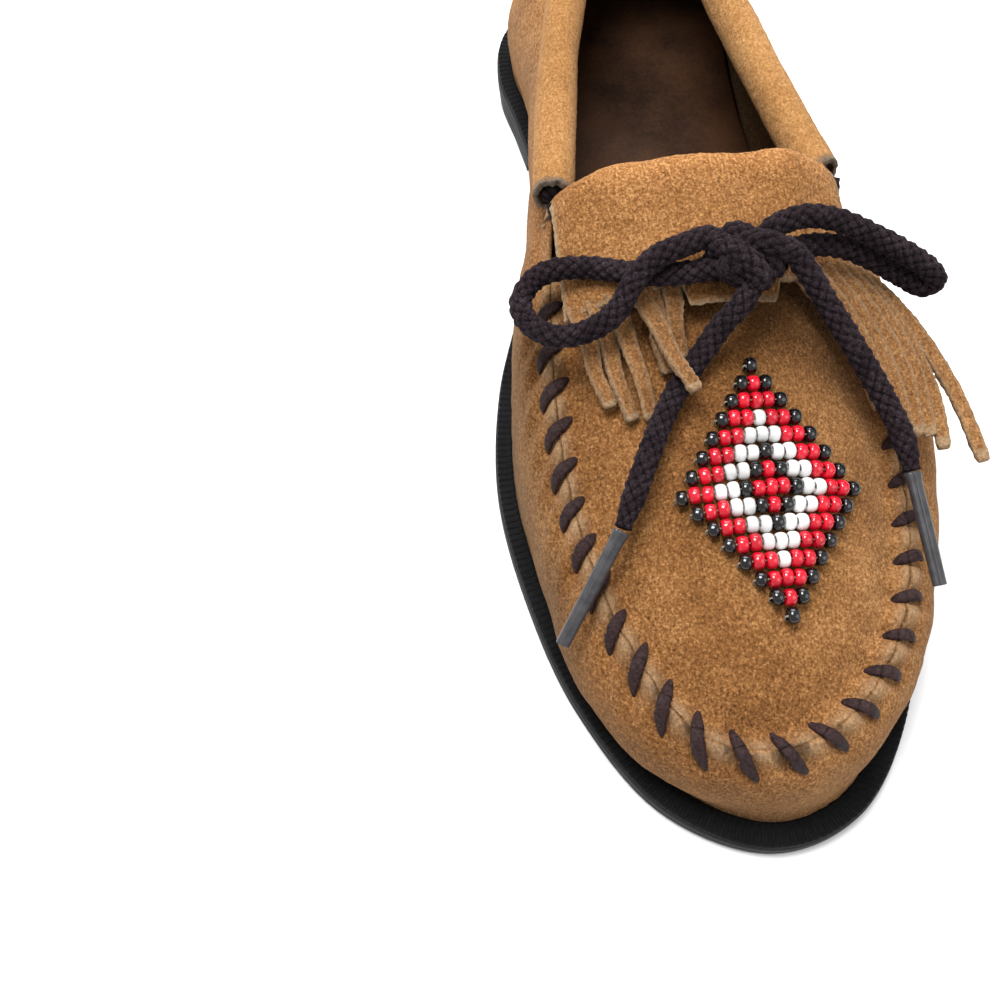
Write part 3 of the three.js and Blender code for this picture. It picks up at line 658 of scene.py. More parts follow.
def braid_radii(path, lengths, sides, radius, tip=0.0):
    """Radii of a braided cord: over and under strands, soft lumps, and a drawn-in tip."""
    angle = round_shares(sides)[None, :] * STRANDS
    run = (lengths / PICK)[:, None]
    a, b = run + angle, run - angle
    over = (np.floor(a) + np.floor(b)) % 2 == 0
    fa, fb = a % 1, b % 1
    pick = np.where(over, np.sin(np.pi * fa) * (0.45 + 0.55 * np.sin(np.pi * fb)),
                    np.sin(np.pi * fb) * (0.45 + 0.55 * np.sin(np.pi * fa)))
    radii = radius * (1 + BRAID_RELIEF * (pick - 0.55))
    soft = lumps(np.stack([run[:, 0] * 0.4, run[:, 0] * 0, run[:, 0] * 0], -1), 1.0)
    radii = radii * (1 + 0.05 * soft[:, None])
    if tip:
        left = lengths[-1] - lengths
        radii = radii * (1 - tip * (1 - smooth(0, 7, left)))[:, None]
    return radii


def add_braid(parts, path, lengths, radius, tip=0.0, swell=1.0, sides=40):
    """Adds a fuzzy braided cord along a path; the mesh attribute that carries the lace's painted shade is 0
    in the grooves, 1 on the crests.
    """
    radii = braid_radii(path, lengths, sides, radius, tip)
    crests = smooth(-0.55 * BRAID_RELIEF, 0.1 * BRAID_RELIEF, radii / radii.mean(1, keepdims=True) - 1)
    grid = sweep(path, radii * swell, sides)
    grid = grid + 0.11 * lumps(grid, 0.6)[..., None] * unit(grid - path[:, None])
    parts.grid(grid, wrap_columns=True, ends=True, worn=crests)


def aglet(name):
    """A plastic tip, pressed a little flat, with a crease where its sheet overlaps."""
    path, lengths = along(AGLET_ENDS[name], 60)
    share = lengths / lengths[-1]
    sides = 48
    angle = round_angles(sides)
    radius = mix(1.85, 1.62, smooth(0, 0.12, share)) - 0.1 * smooth(0.5, 1, share)
    flat = 1 - 0.14 * np.sin(angle) ** 2
    crease = 0.12 * bell(angle - 1.5, 0.2) - 0.22 * bell(angle - 1.1, 0.16)
    radii = radius[:, None] * flat[None] + crease[None]
    outer = sweep(path, radii, sides)
    back = unit(path[-1] - path[-2])
    lip = [outer[-1] + back * 0.12 - unit(outer[-1] - path[-1]) * inset for inset in (0.12, 0.2)]
    inner = [path[-1] + (outer[-1] - path[-1]) * 0.72 - back * depth for depth in (0.0, 1.6)]
    grid = np.concatenate([outer, np.array(lip), np.array(inner)])
    return grid_piece(grid, name, "flap", "aglet_plastic", AGLET, ends=True)


def knot():
    """The gathered middle of the bow, and the strand that wraps it twice."""
    middle = np.array(KNOT)
    lean, across = np.array([0.66, -0.75, 0.0]), np.array([0.75, 0.66, 0.0])
    parts = Parts()
    for offset in (-2.3, 2.3):
        turn = np.linspace(0, 2 * math.pi, 26)
        wrap = middle + np.outer(np.cos(turn), lean) * 6.0 + np.outer(np.sin(turn), (0, 0, 3.6))
        wrap = wrap + np.outer(np.linspace(offset - 0.8, offset + 0.8, len(turn)), across)
        path, lengths = along(wrap, 150)
        add_braid(parts, path, lengths, LACE_RADIUS)
    path, lengths = along([middle + across * s for s in (-7.5, -3, 3, 7.5)], 60)
    swell = np.sqrt(np.maximum(1 - np.linspace(-1, 1, 60) ** 4, 0.02))[:, None]
    add_braid(parts, path, lengths, 4.2, swell=swell)
    return finish(parts, "lace_knot", "flap", "lace", LACE)


def lace_side(side, route, pieces):
    steps = int(along(route, 2)[1][-1] / RING_STEP)
    path, lengths = along(route, steps)
    parts = Parts()
    add_braid(parts, path, lengths, LACE_RADIUS, TIP_TAPER)
    piece = parts.build(f"lace_{side}", LACE)
    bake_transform(piece)
    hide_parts(f"lace_run_{side}", f"bow_loop_{side}", f"lace_end_{side}")


# ---- Upper ----
WALL_STEPS = 1300
TOE_SETBACK = 1.5
FEATHER_Z = OUTSOLE + GAP
BACK_SEAM = 0.001  # half the width of the heel's seam, as a share of the way round


def share_where(y, direction):
    """Where the rim crosses a y, going from the toe along one side."""
    t = 0.5 + direction * np.linspace(0, 0.4, 4000)
    return t[np.argmax(rim_at(t)[:, 1] >= y)]


SEAM_FROM, SEAM_TO = share_where(THROAT_Y, -1), share_where(THROAT_Y, 1)
SEAM_T = np.linspace(SEAM_FROM - 0.03, SEAM_TO + 0.03, 3000)
SEAM_ARC = distances(rim_at(SEAM_T))
SEAM_ARC = SEAM_ARC - np.interp(SEAM_FROM, SEAM_T, SEAM_ARC)
SEAM_LENGTH = np.interp(SEAM_TO, SEAM_T, SEAM_ARC)
STITCH_PITCH = SEAM_LENGTH / STITCH_COUNT


def slant(arc):
    """How far a stitch runs along the seam for each millimetre that it runs across it."""
    share = arc / SEAM_LENGTH
    return mix(0.85, 0.45, smooth(0.3, 0.6, share))


def pucker(arc, across):
    """From -1 under a stitch to 1 between two; across is positive on the wall's side."""
    phase = (arc - slant(arc) * across) / STITCH_PITCH
    inside = smooth(0.2, 1.2, phase) * (1 - smooth(STITCH_COUNT - 1.2, STITCH_COUNT - 0.2, phase))
    return -np.cos(2 * math.pi * phase) * inside


def seam_presence(t):
    return smooth(SEAM_FROM - 0.02, SEAM_FROM + 0.004, t) * (1 - smooth(SEAM_TO - 0.004, SEAM_TO + 0.02, t))


def setback(y):
    """How much further in the wall stands round the toe, where its suede is skived thin."""
    return TOE_SETBACK * smooth(-108, -124, y)


def ridge_height(y):
    return RIDGE * (1 - smooth(-6, 8, y))


def wall_section(t):
    """The wall's outer face, from its foot over the shoulder to the crest, for stations t."""
    edge = sole_at(t)
    out = upright(outward(sole_at, t))
    bulge = edge[:, 2:3]
    foot = upright(edge[:, :2]) - out * (FEATHER_INSET + setback(edge[:, 1]))[:, None]
    foot[:, 2] = rise(foot[:, 1]) + FEATHER_Z
    rim = rim_at(t)
    rim_out = upright(outward(rim_at, t))
    seam = seam_presence(t)
    collar = collar_line(rim[:, 1]) - CASING_RADIUS + 1.0
    shoulder_z = mix(collar - 3.6, instep(rim[:, 0], rim[:, 1]) - 0.6, seam)
    neck = upright(rim, shoulder_z) + rim_out * mix(2.0, 3.2, seam)[:, None]
    base = foot + (0, 0, WELT_HEIGHT + GAP)
    height = neck[:, 2:3] - base[:, 2:3]
    low = base + out * (1.9 * bulge + 1) + np.array([0, 0, 0.35]) * height
    high = mix(base, neck, 0.5) + out * (1.2 * bulge + 4)
    high[:, 2] = (base[:, 2:3] + 0.88 * height)[:, 0]
    rows = [foot, mix(foot, base, 0.5)]
    for s in np.linspace(0, 1, 46):
        lower = (1 - s) ** 3 * base + 3 * s * (1 - s) ** 2 * low
        rows.append(lower + 3 * s * s * (1 - s) * high + s**3 * neck)
    crest_z = mix(collar, instep(rim[:, 0], rim[:, 1]) + ridge_height(rim[:, 1]), seam)
    crest = upright(rim, crest_z)
    for share, lift in ((0.30, 0.36), (0.55, 0.68), (0.75, 0.88), (0.9, 0.98), (1.0, 1.0)):
        point = mix(neck, crest + rim_out * 0.45, share)
        point[:, 2] = mix(neck[:, 2], crest_z, lift)
        rows.append(point)
    return np.stack(rows, 1), out, rim_out


def wall_relief(outer, t, from_crest, from_foot, puff, seam):
    """How far the wall's face stands out: puckers, ruffles, creases, and the heel's seam."""
    hold = smooth(0, 5, from_foot)
    ruffle = 0.30 * lumps(outer, 1.7, 2.2) * bell(from_crest, 4.5) * seam
    creases = 0.55 * lumps(outer * (1, 1, 0.45), 11.0, 3.1) + 0.16 * lumps(outer, 4.0, 7.7)
    shift = 1.15 * puff + ruffle + creases * hold + 0.09 * lumps(outer, 1.1, 1.9)
    back_seam = bell((t + 0.5) % 1 - 0.5, BACK_SEAM)[:, None]
    return shift - 0.5 * back_seam * hold


def wall_back(outer, skin, normal, out, rim_out, t):
    """The wall's inner face, from its crest down to the margin turned in under the board."""
    inward = skin[:, -1] - rim_out * 0.75
    thickness = (SUEDE - 0.6 * setback(sole_at(t)[:, 1]))[:, None, None]
    inner_wall = (outer[:, 2:-5:5] - normal[:, 2:-5:5] * thickness)[:, ::-1]
    floor = outer[:, 0] + (0, 0, SUEDE)
    turned = [floor - out * SUEDE, floor - out * LASTING_MARGIN, outer[:, 0] - out * LASTING_MARGIN]
    top = [inward, inward - (0, 0, 1.2)]
    return np.concatenate([np.stack(top, 1), inner_wall, np.stack(turned, 1)], 1)


def upper_wall():
    t = round_shares(WALL_STEPS)
    outer, out, rim_out = wall_section(t)
    steps = np.linalg.norm(np.diff(outer, axis=1), axis=2)
    from_crest = np.cumsum(steps[:, ::-1], axis=1)[:, ::-1]
    from_crest = np.concatenate([from_crest, np.zeros((len(t), 1))], 1)
    from_foot = from_crest.max(1, keepdims=True) - from_crest
    arc = np.interp(t, SEAM_T, SEAM_ARC)[:, None]
    seam = seam_presence(t)[:, None]
    puff = pucker(arc, from_crest) * bell(from_crest, 7.0) * seam
    normal = grid_normals(outer, out)
    normal[:, -8:] = unit(normal[:, -8:] + (0, 0, 0.8))  # leans upwards near the crest
    skin = outer + normal * wall_relief(outer, t, from_crest, from_foot, puff, seam)[..., None]
    edge = upright(sole_at(t)[:, :2])
    hem = relief(edge, (0.35, 2.2, 4.4), (0.2, 0.8, 9.0))
    skin[:, 0, 2] = np.minimum(skin[:, 0, 2], outer[:, 0, 2])
    skin[:, 1] += out * (0.35 + hem)[:, None]
    back = wall_back(outer, skin, normal, out, rim_out, t)
    worn = bell(from_crest, 2.2) * seam * (0.34 + 0.2 * puff) + 0.3 * bell(from_foot, 1.2)
    worn = np.concatenate([np.clip(worn, 0, 1), np.zeros(back.shape[:2])], 1)
    section = np.concatenate([skin, back], 1)
    piece = grid_piece(section, "upper_wall", "shoe", "suede", TAN, wrap_rows=True, worn=worn)

    def painted_light(x, y, z):
        # Painted shade on the lower wall, painted shadow on the inner side towards the toe, and painted
        # light near the top.
        low = -0.20 * smooth(36, 10, z)
        painted_inner_shadow = -0.32 * smooth(-36, -44, x) * smooth(12, -10, y)
        return low + painted_inner_shadow + 0.05 * smooth(38, 50, z)

    # Painted shade on the wall's inner faces too, through inside.
    set_painted_light(piece, painted_light, inside=0.55)


def plug_grid(rows=360, columns=200):
    """Chords from the seam's inner side to its outer side, from the throat to the toe."""
    arcs = np.linspace(0, SEAM_LENGTH / 2, rows)
    left = rim_at(np.interp(arcs, SEAM_ARC, SEAM_T))
    right = rim_at(np.interp(SEAM_LENGTH - arcs, SEAM_ARC, SEAM_T))
    spread = np.linspace(-1, 1, columns)
    share = 0.5 + 0.5 * np.sign(spread) * (1 - (1 - np.abs(spread)) ** 1.35)
    return mix(left[:, None], right[:, None], share[None, :, None])


def seam_place(plan):
    """Distance of plan points from the seam, and how far along it they are."""
    line_arc = np.linspace(0, SEAM_LENGTH, 900)
    line = rim_at(np.interp(line_arc, SEAM_ARC, SEAM_T))
    flat = plan.reshape(-1, 2)
    distance, arc = np.empty(len(flat)), np.empty(len(flat))
    for first in range(0, len(flat), 4000):
        part = flat[first : first + 4000]
        gaps = np.linalg.norm(part[:, None] - line[None], axis=2)
        nearest = gaps.argmin(1)
        distance[first : first + 4000] = gaps[np.arange(len(part)), nearest]
        arc[first : first + 4000] = line_arc[nearest]
    return distance.reshape(plan.shape[:-1]), arc.reshape(plan.shape[:-1])


def plug_height(plan, distance, arc):
    x, y = plan[..., 0], plan[..., 1]
    ridge = ridge_height(y) * bell(distance, 2.3)
    puff = 0.8 * pucker(arc, -distance) * bell(distance, 6.0)
    trough = -0.5 * bell(distance - 5, 2.5)
    return instep(x, y) + ridge + puff + trough


def plug():
    plan = plug_grid()
    distance, arc = seam_place(plan)
    z = plug_height(plan, distance, arc)
    top = upright(plan, z)
    z = z + relief(top, (0.28, 14.0, 5.0), (0.12, 3.5, 2.0), (0.09, 1.0, 8.0))
    z = z + 0.28 * lumps(top, 1.7, 6.1) * bell(distance, 4.0)
    top = upright(plan, z)
    # The plug's edge stops short of the wall's, so the seam shows as a fine line on the crest.
    from_middle = plan - plan.mean((0, 1))
    inset = 0.15 / np.maximum(np.linalg.norm(from_middle, axis=-1), 1)
    top[..., :2] -= from_middle * inset[..., None]
    bottom = top - (0, 0, SUEDE)
    puff = pucker(arc, -distance)
    worn = bell(distance, 1.8) * (0.34 + 0.2 * puff)
    piece = slab_piece(top, bottom, "plug", "shoe", "suede", TAN, worn=np.clip(worn, 0, 1))

    def painted_light(x, y, z):
        # Painted shade under the knot and its bow, and towards the throat under the flap's front edge.
        middle = bell(x - 10, 26) * smooth(-48, -26, y)
        return -0.34 * middle - 0.10 * smooth(-30, -16, y)

    set_painted_light(piece, painted_light)


# ---- Stitches ----
def ridge_point(arc, across):
    """A point on the seam's ridge; across is negative on the plug's side, positive on the wall's."""
    t = np.interp(arc, SEAM_ARC, SEAM_T)
    rim = rim_at(t)
    rim_out = outward(rim_at, t)
    plan = rim - rim_out * np.maximum(-across, 0)[:, None]
    plug_z = plug_height(plan, np.maximum(-across, 0.2), arc)
    point = upright(plan, plug_z)
    section, _, _ = wall_section(t)
    section = section[:, ::-1]
    lengths = np.cumsum(np.linalg.norm(np.diff(section, axis=1), axis=2), axis=1)
    lengths = np.concatenate([np.zeros((len(t), 1)), lengths], 1)
    for i in np.flatnonzero(across > 0):
        point[i] = [np.interp(across[i], lengths[i], section[i, :, k]) for k in range(3)]
    return point


def add_stitch(parts, stitch, rows=34, sides=14):
    """A leaf-shaped turn of the thong between its two holes, sunk into the suede."""
    angle = round_angles(sides)
    arc = stitch * STITCH_PITCH
    share = arc / SEAM_LENGTH
    toe = bell(share - 0.47, 0.13)
    wobble = noise.noise((stitch * 1.7, 0.3, 0.0))
    reach_in, reach_out = 3.6 + 1.2 * toe + 0.5 * wobble, 4.4 + 2.6 * toe - 0.4 * wobble
    across = np.linspace(-reach_in, reach_out, rows)
    along_seam = arc + slant(arc) * across * (1 + 0.12 * wobble)
    path = ridge_point(along_seam, across)
    s = np.linspace(0, 1, rows)
    lift = 0.95 * np.sin(np.pi * s) ** 0.55 - 0.9 * (1 - np.sin(np.pi * s)) ** 3
    tangent = directions(path)
    t = np.interp(along_seam, SEAM_ARC, SEAM_T)
    on_wall = np.where(across > 1.5, 1.0, 0.0)[:, None]
    facing = unit(upright(outward(rim_at, t), 0.9) * on_wall + (0, 0, 1.0))
    side = unit(np.cross(tangent, facing))
    top = unit(np.cross(side, tangent))
    path = path + top * lift[:, None]
    width = (1.45 + 0.12 * wobble) * np.sin(np.pi * np.clip(s, 0.03, 0.97)) ** 0.6
    thick = 0.75 * np.sin(np.pi * np.clip(s, 0.03, 0.97)) ** 0.5
    ring = path[:, None] + side[:, None] * (width[:, None] * np.cos(angle))[..., None]
    rounded = np.sign(np.sin(angle)) * np.abs(np.sin(angle)) ** 0.7
    ring = ring + top[:, None] * (thick[:, None] * rounded)[..., None]
    ring = ring + 0.10 * lumps(ring, 0.9, stitch)[..., None] * unit(ring - path[:, None])
    parts.grid(ring, wrap_columns=True, ends=True)


def stitches():
    parts = Parts()
    for stitch in range(1, STITCH_COUNT):
        add_stitch(parts, stitch)
    finish(parts, "whipstitch_thong", "shoe", "thong_leather", THONG)


# ---- Flap ----
FLAP_LIFT = 6.0
FOLD_RADIUS = 4.7
FLAP_HALF = 34.5
CORNER_LIFT = 3.6
STRIP_WIDTH = 4.4
FOLD_AXIS = (7.8, 61.9)  # y and z of the line through the middle of the flap's fold


def fold_y(x):
    return 13.8 - 0.0018 * x * x + 0.01 * x


def flap_bottom(x, y):
    """The flap's lower face; its rear corners stand higher, where it lies on the collar's mouths."""
    corner = smooth(8, 22, np.abs(x)) * (1 - 0.6 * smooth(29, 35, np.abs(x))) * smooth(-12, 6, y)
    return instep(x, y) + mix(1.2, FLAP_LIFT, smooth(-33, -20, y)) + CORNER_LIFT * corner


def fringe_root_y(x):
    return -20 + 5 * smooth(16, 34, x)


# Half of a strip's section as shares of its half width and of its thickness.
STRIP_HALF = [(0, 0), (0.45, -0.05), (0.9, 0), (1, 0.15), (1.02, 0.5), (1, 0.85), (0.9, 1), (0.45, 1.06)]
STRIP_SECTION = np.array(STRIP_HALF + [(0, 1.08)] + [(-x, z) for x, z in STRIP_HALF[:0:-1]])

# Root x, tip x, tip y, the tip's height where it doesn't rest on the shoe, and how far the
# strip bows outwards between its ends.
FRINGE = [
    (-31.5, -26.5, -41, 0, 0),
    (-27.3, -22.3, -45, 0, 0),
    (-23.1, -18, -46, 0, 0),
    (-18.6, -9.6, -45.5, 57, 0),
    (-15.3, -13.5, -36.5, 0, 0),
    (-11, -10, -33.5, 0, 0),
    (18.5, 33, -47, 0, 2),
    (21.5, 36, -51, 43, 3),
    (24.5, 38.5, -53, 43, 3.5),
    (27.3, 41, -53.5, 43, 4),
    (29.8, 43.3, -54, 43, 4.5),
    (31.8, 46.3, -56.8, 42, 4.5),
    (33.6, 54.3, -60.4, 41, 4.5),
]


def strip_rest(x, y):
    return instep(x, y) + 1.2 + 5.4 * smooth(24, 32, np.abs(x))


def fringe_strip(parts, number, root_x, tip_x, tip_y, tip_z, bow):
    """One cut strip of suede with rounded, frayed edges and a blunt tip."""
    root_y = fringe_root_y(root_x) + 2.5
    root = np.array([root_x, root_y, flap_bottom(root_x, root_y)])
    tip = np.array([tip_x, tip_y, tip_z or strip_rest(tip_x, tip_y)])
    points = [root]
    for share in (0.3, 0.65):
        point = mix(root, tip, share)
        point[0] += bow * math.sin(math.pi * share)
        slack = 0 if tip_z else 0.6 * (1 - share)
        point[2] = max(point[2], strip_rest(point[0], point[1]) + slack)
        points.append(point)
    points.append(tip)
    path, lengths = along(points, 70)
    share = lengths / lengths[-1]
    sway = lumps(np.stack([share * 2.2, share * 0 + number, share * 0], -1), 1.0)
    path[:, 0] += 1.2 * sway * smooth(0.1, 0.6, share)
    tangent = directions(path)
    side = unit(np.cross((0.0, 0.0, 1.0), tangent))
    twist = 0.5 * lumps(np.stack([share * 1.3, share * 0, share * 0 + number], -1), 1.0, 3.3)
    twist = twist * smooth(0.2, 0.9, share)
    top = np.cross(tangent, side)
    side, top = (
        side * np.cos(twist)[:, None] + top * np.sin(twist)[:, None],
        top * np.cos(twist)[:, None] - side * np.sin(twist)[:, None],
    )
    across, up = STRIP_SECTION.T
    half = 0.5 * STRIP_WIDTH * mix(1.0, 0.72, smooth(0.1, 0.9, share))
    half = half * (1 - 0.25 * smooth(0.975, 1, share))
    grid = path[:, None] + side[:, None] * (half[:, None] * across)[..., None]
    grid = grid + top[:, None] * (up * SUEDE)[None, :, None]
    grid = grid + 0.26 * lumps(grid, 0.8, number)[..., None] * np.array([1, 1, 0.6])
    worn = np.tile(np.where(np.abs(across) > 0.85, 0.5, 0.08), (len(path), 1))
    worn[share > 0.95] = 0.7
    parts.grid(grid, wrap_columns=True, worn=worn, ends=True)


def flap():
    """The folded flap: a soft roll at the back, a sheet over the throat, and its fringe."""
    columns, roll, sheet_rows = 190, 44, 120
    x = np.linspace(-FLAP_HALF, FLAP_HALF, columns)
    middle_y = fold_y(x) - FOLD_RADIUS
    middle_z = flap_bottom(x, middle_y) + SUEDE - FOLD_RADIUS
    rows = []
    for angle in np.radians(np.linspace(-62, 90, roll)):
        y = middle_y + FOLD_RADIUS * math.cos(angle)
        rows.append(np.stack([x, y, middle_z + FOLD_RADIUS * math.sin(angle)], -1))
    tab = 5.0 * smooth(-9, -7, x) * (1 - smooth(12, 14, x))  # uncut, between the fringe's two sides
    front = fringe_root_y(x) - tab
    for share in np.linspace(0, 1, sheet_rows)[1:]:
        y = mix(middle_y, front, share)
        rows.append(np.stack([x, y, flap_bottom(x, y) + SUEDE], -1))
    top = np.stack(rows)
    normal = grid_normals(top)
    normal *= np.sign(normal[-1, columns // 2, 2])
    edge = np.minimum(FLAP_HALF - np.abs(x), 3.0)[None]
    dimple = bell(top[..., 0] - 4, 11) * bell(top[..., 1] + 18, 7)
    shift = relief(top, (0.55, 13.0, 6.0), (0.16, 3.2, 1.0), (0.16, 0.8, 4.0)) - 1.1 * dimple
    shift = shift - 0.9 * (1 - edge / 3.0) ** 2
    skin = top + normal * shift[..., None]
    for side, seed in ((0, 2.0), (-1, 5.0)):
        skin[:, side, 0] += 0.35 * lumps(top[:, side], 1.5, seed)
    skin[-1, :, 1] += 0.5 * lumps(top[-1], 1.4, 9.0)
    under = skin - normal * SUEDE
    worn = bell(edge, 0.8) + np.zeros(len(top))[:, None]
    worn[-6:] = np.maximum(worn[-6:], np.linspace(0.1, 0.9, 6)[:, None])
    parts = Parts()
    parts.slab(skin, under, worn=np.clip(worn, 0, 1), edge_worn=0.7)
    for number, strip in enumerate(FRINGE):
        fringe_strip(parts, number, *strip)
    piece = parts.build("fringe_flap", TAN)

    def painted_light(x, y, z):
        # Painted light over the fold and a little over the whole flap, and painted shade towards its front.
        return 0.06 + 0.44 * smooth(2, 13, y) - 0.10 * smooth(-6, -18, y)

    set_painted_light(piece, painted_light)
    y, z = FOLD_AXIS
    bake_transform(piece)
    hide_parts("fringe_flap")


def tongue():
    """The rear of the plug's suede, which runs under the flap and turns up into its fold."""
    columns, rows = 120, 60
    across = np.linspace(-1, 1, columns)
    top = []
    for share in np.linspace(0, 1, rows):
        x = across * mix(33, 30, share)
        y = mix(THROAT_Y + GAP, fold_y(x) - FOLD_RADIUS + 2.2, share)
        top.append(np.stack([x, y, instep(x, y) + 0.1 * share], -1))
    top = np.stack(top)
    top[..., 2] += relief(top, (0.12, 5.0, 0.0), (0.08, 1.0, 0.0))
    slab_piece(top, top - (0, 0, SUEDE), "tongue", "shoe", "suede", TAN, edge_worn=0.6)


# ---- Collar ----
CASING_END_Y = 12


def casing_path(steps):
    """The middle of the collar, from its mouth on the inner side round the heel to the other."""
    low, high = (share_where(CASING_END_Y, side) for side in (-1, 1))
    rim = rim_at(np.concatenate([np.linspace(low, 0, 400), np.linspace(1, high, 400)[1:]]))
    return evenly(upright(rim, collar_line(rim[:, 1])), steps)


def collar_casing():
    """The rolled collar: a hollow tube of suede with frayed mouths at its two front ends."""
    steps, sides = 620, 56
    path, lengths = casing_path(steps)
    frames = carried_frames(path)
    left = np.minimum(lengths, lengths[-1] - lengths)
    angle = round_angles(sides)
    flat = 1 - 0.06 * np.cos(2 * angle)[None]
    mouth = 0.25 * (1 - smooth(0, 6, left))[:, None]
    outer = sweep(path, CASING_RADIUS * flat - mouth, sides, frames)
    away = unit(outer - path[:, None])
    shift = 0.30 * lumps(outer * (1, 0.6, 1), 9.0, 2.0) + relief(outer, (0.10, 2.4, 5.0), (0.12, 0.8, 8.0))
    outer = outer + away * shift[..., None]
    inner = sweep(path, CASING_RADIUS - SUEDE, sides, frames) + away * shift[..., None] * 0.6
    tangents = directions(path)
    for end, sign in ((0, -1), (-1, 1)):
        fray = relief(outer[end], (0.9, 1.2, 3.0), (0.7, 3.5, 6.0))
        outer[end] += tangents[end] * sign * fray[:, None]
        inner[end] += tangents[end] * sign * fray[:, None]
    worn = (1 - smooth(0.2, 2.4, left))[:, None] + np.zeros(sides)[None]
    grid = np.concatenate([outer, inner[::-1]])
    worn = np.concatenate([worn, worn[::-1]])
    grid_piece(grid, "collar_casing", "shoe", "suede", GOLDEN, wrap_rows=True, worn=worn)


def lace_in_casing():
    path, lengths = casing_path(700)
    parts = Parts()
    add_braid(parts, path, lengths, LACE_RADIUS, sides=32)
    finish(parts, "lace_in_casing", "shoe", "lace", LACE)


# ---- Sole and inside ----
SOLE_STEPS = 1400
TREAD_PITCH, TREAD_FROM = 14, -118  # between the grooves under the forefoot, and where one lies
HEEL_PITCH, HEEL_FROM = 9, 77  # and under the heel
HEEL_FRONT = 70.3
WELT_RIBS = 360
LINING_THICKNESS = 1.0


def sole_ring(inset, z, t):
    edge = upright(sole_at(t)[:, :2])
    ring = edge - upright(outward(sole_at, t)) * inset
    ring[:, 2] = rise(ring[:, 1]) + z
    return ring


def cap(parts, ring, columns, height=None):
    """Fills a closed ring with chords between its stations and their opposites."""
    count = len(ring)
    half = count // 2
    left = ring[: half + 1]
    right = ring[(-np.arange(half + 1)) % count]
    share = np.linspace(0, 1, columns)
    grid = mix(left[:, None], right[:, None], share[None, :, None])
    if height:
        inside = (share > 0) & (share < 1)
        grid[:, inside, 2] = height(grid[:, inside, 0], grid[:, inside, 1])
    parts.grid(grid)


def outsole():
    t = round_shares(SOLE_STEPS)
    section = [
        (6.0, OUTSOLE), (1.0, OUTSOLE), (0.45, OUTSOLE - 0.12), (0.12, OUTSOLE - 0.45),
        (0.0, OUTSOLE - 1.0), (0.0, 3.0), (0.12, 2.8), (0.12, 2.55), (0.0, 2.35), (0.0, 1.0),
        (0.12, 0.45), (0.45, 0.12), (1.0, 0.0),
    ]
    rings = np.stack([sole_ring(inset, z, t) for inset, z in section])
    parts = Parts()
    parts.grid(rings, wrap_columns=True)
    cap(parts, rings[0], 30)

    def tread(x, y):
        place = (y - TREAD_FROM) % TREAD_PITCH
        depth = 1.4 * (1 - smooth(0.7, 1.1, np.minimum(place, TREAD_PITCH - place)))
        return rise(y) + depth * smooth(-18, -22, y) * smooth(-124, -120, y)

    cap(parts, rings[-1], 60, tread)
    finish(parts, "outsole", "shoe", "rubber", SOLE)


def heel_block():
    t = round_shares(4000)
    outline = sole_ring(0.7, 0, t)
    rows = mix(HEEL_FRONT, outline[:, 1].max() - 0.05, 1 - (1 - np.linspace(0, 1, 90)) ** 1.8)
    left, right = outline[t < 0.25], outline[t > 0.75]
    left_x = np.interp(rows, left[::-1, 1], left[::-1, 0])
    right_x = np.interp(rows, right[:, 1], right[:, 0])
    share = np.linspace(0, 1, 60)
    across = mix(left_x[:, None], right_x[:, None], share[None])
    plan = np.stack([across, np.repeat(rows[:, None], 60, 1)], -1)
    place = (plan[..., 1] - HEEL_FROM) % HEEL_PITCH
    groove = 1.2 * (1 - smooth(0.6, 1.0, np.minimum(place, HEEL_PITCH - place)))
    groove = groove * smooth(124, 120, plan[..., 1])
    side = np.minimum(share, 1 - share)[None] * (right_x - left_x)[:, None]
    groove = groove * smooth(4, 5, side)
    bottom = upright(plan, groove)
    top = upright(plan, rise(plan[..., 1]) - GAP)
    piece = slab_piece(top, bottom, "heel_block", "shoe", "rubber", SOLE)
    for polygon in piece.data.polygons:
        polygon.use_smooth = abs(polygon.normal.z) < 0.5


def welt():
    """The ledge round the foot of the upper, ribbed across its top and outer edge."""
    t_even = np.linspace(0, 1, 6000)
    lengths = distances(sole_at(t_even)[:, :2])
    run = np.linspace(0, lengths[-1], 4200, endpoint=False)
    t = np.interp(run, lengths, t_even)
    wave = 0.5 + 0.5 * np.tanh(2.2 * np.sin(2 * math.pi * WELT_RIBS * run / lengths[-1]))
    # How far in from the sole's edge, height, and depth of the ribs there.
    section = [
        (GAP + WELT_WIDTH, 0.0, 0), (GAP + WELT_WIDTH, WELT_HEIGHT - 0.2, 0),
        (WELT_WIDTH, WELT_HEIGHT, 0.5), (3.2, WELT_HEIGHT, 1), (2.2, WELT_HEIGHT, 1),
        (1.1, WELT_HEIGHT, 1), (0.7, WELT_HEIGHT - 0.15, 1), (0.45, WELT_HEIGHT - 0.5, 0.8),
        (0.35, 0.6, 0.5), (0.35, 0.0, 0),
    ]
    out = upright(outward(sole_at, t))
    rings = []
    for inset, z, ribbed in section:
        rib = wave * ribbed
        if inset < 0.6:  # the outer edge, whose grooves run inwards
            ring = sole_ring(inset, FEATHER_Z + z, t) - out * (0.28 * rib)[:, None]
        else:
            ring = sole_ring(inset, FEATHER_Z + z - 0.35 * rib, t)
        if inset > WELT_WIDTH - 0.1:
            ring -= out * setback(sole_at(t)[:, 1])[:, None]
        rings.append(ring)
    grid_piece(np.stack(rings), "welt", "shoe", "rubber", WELT, wrap_rows=True)


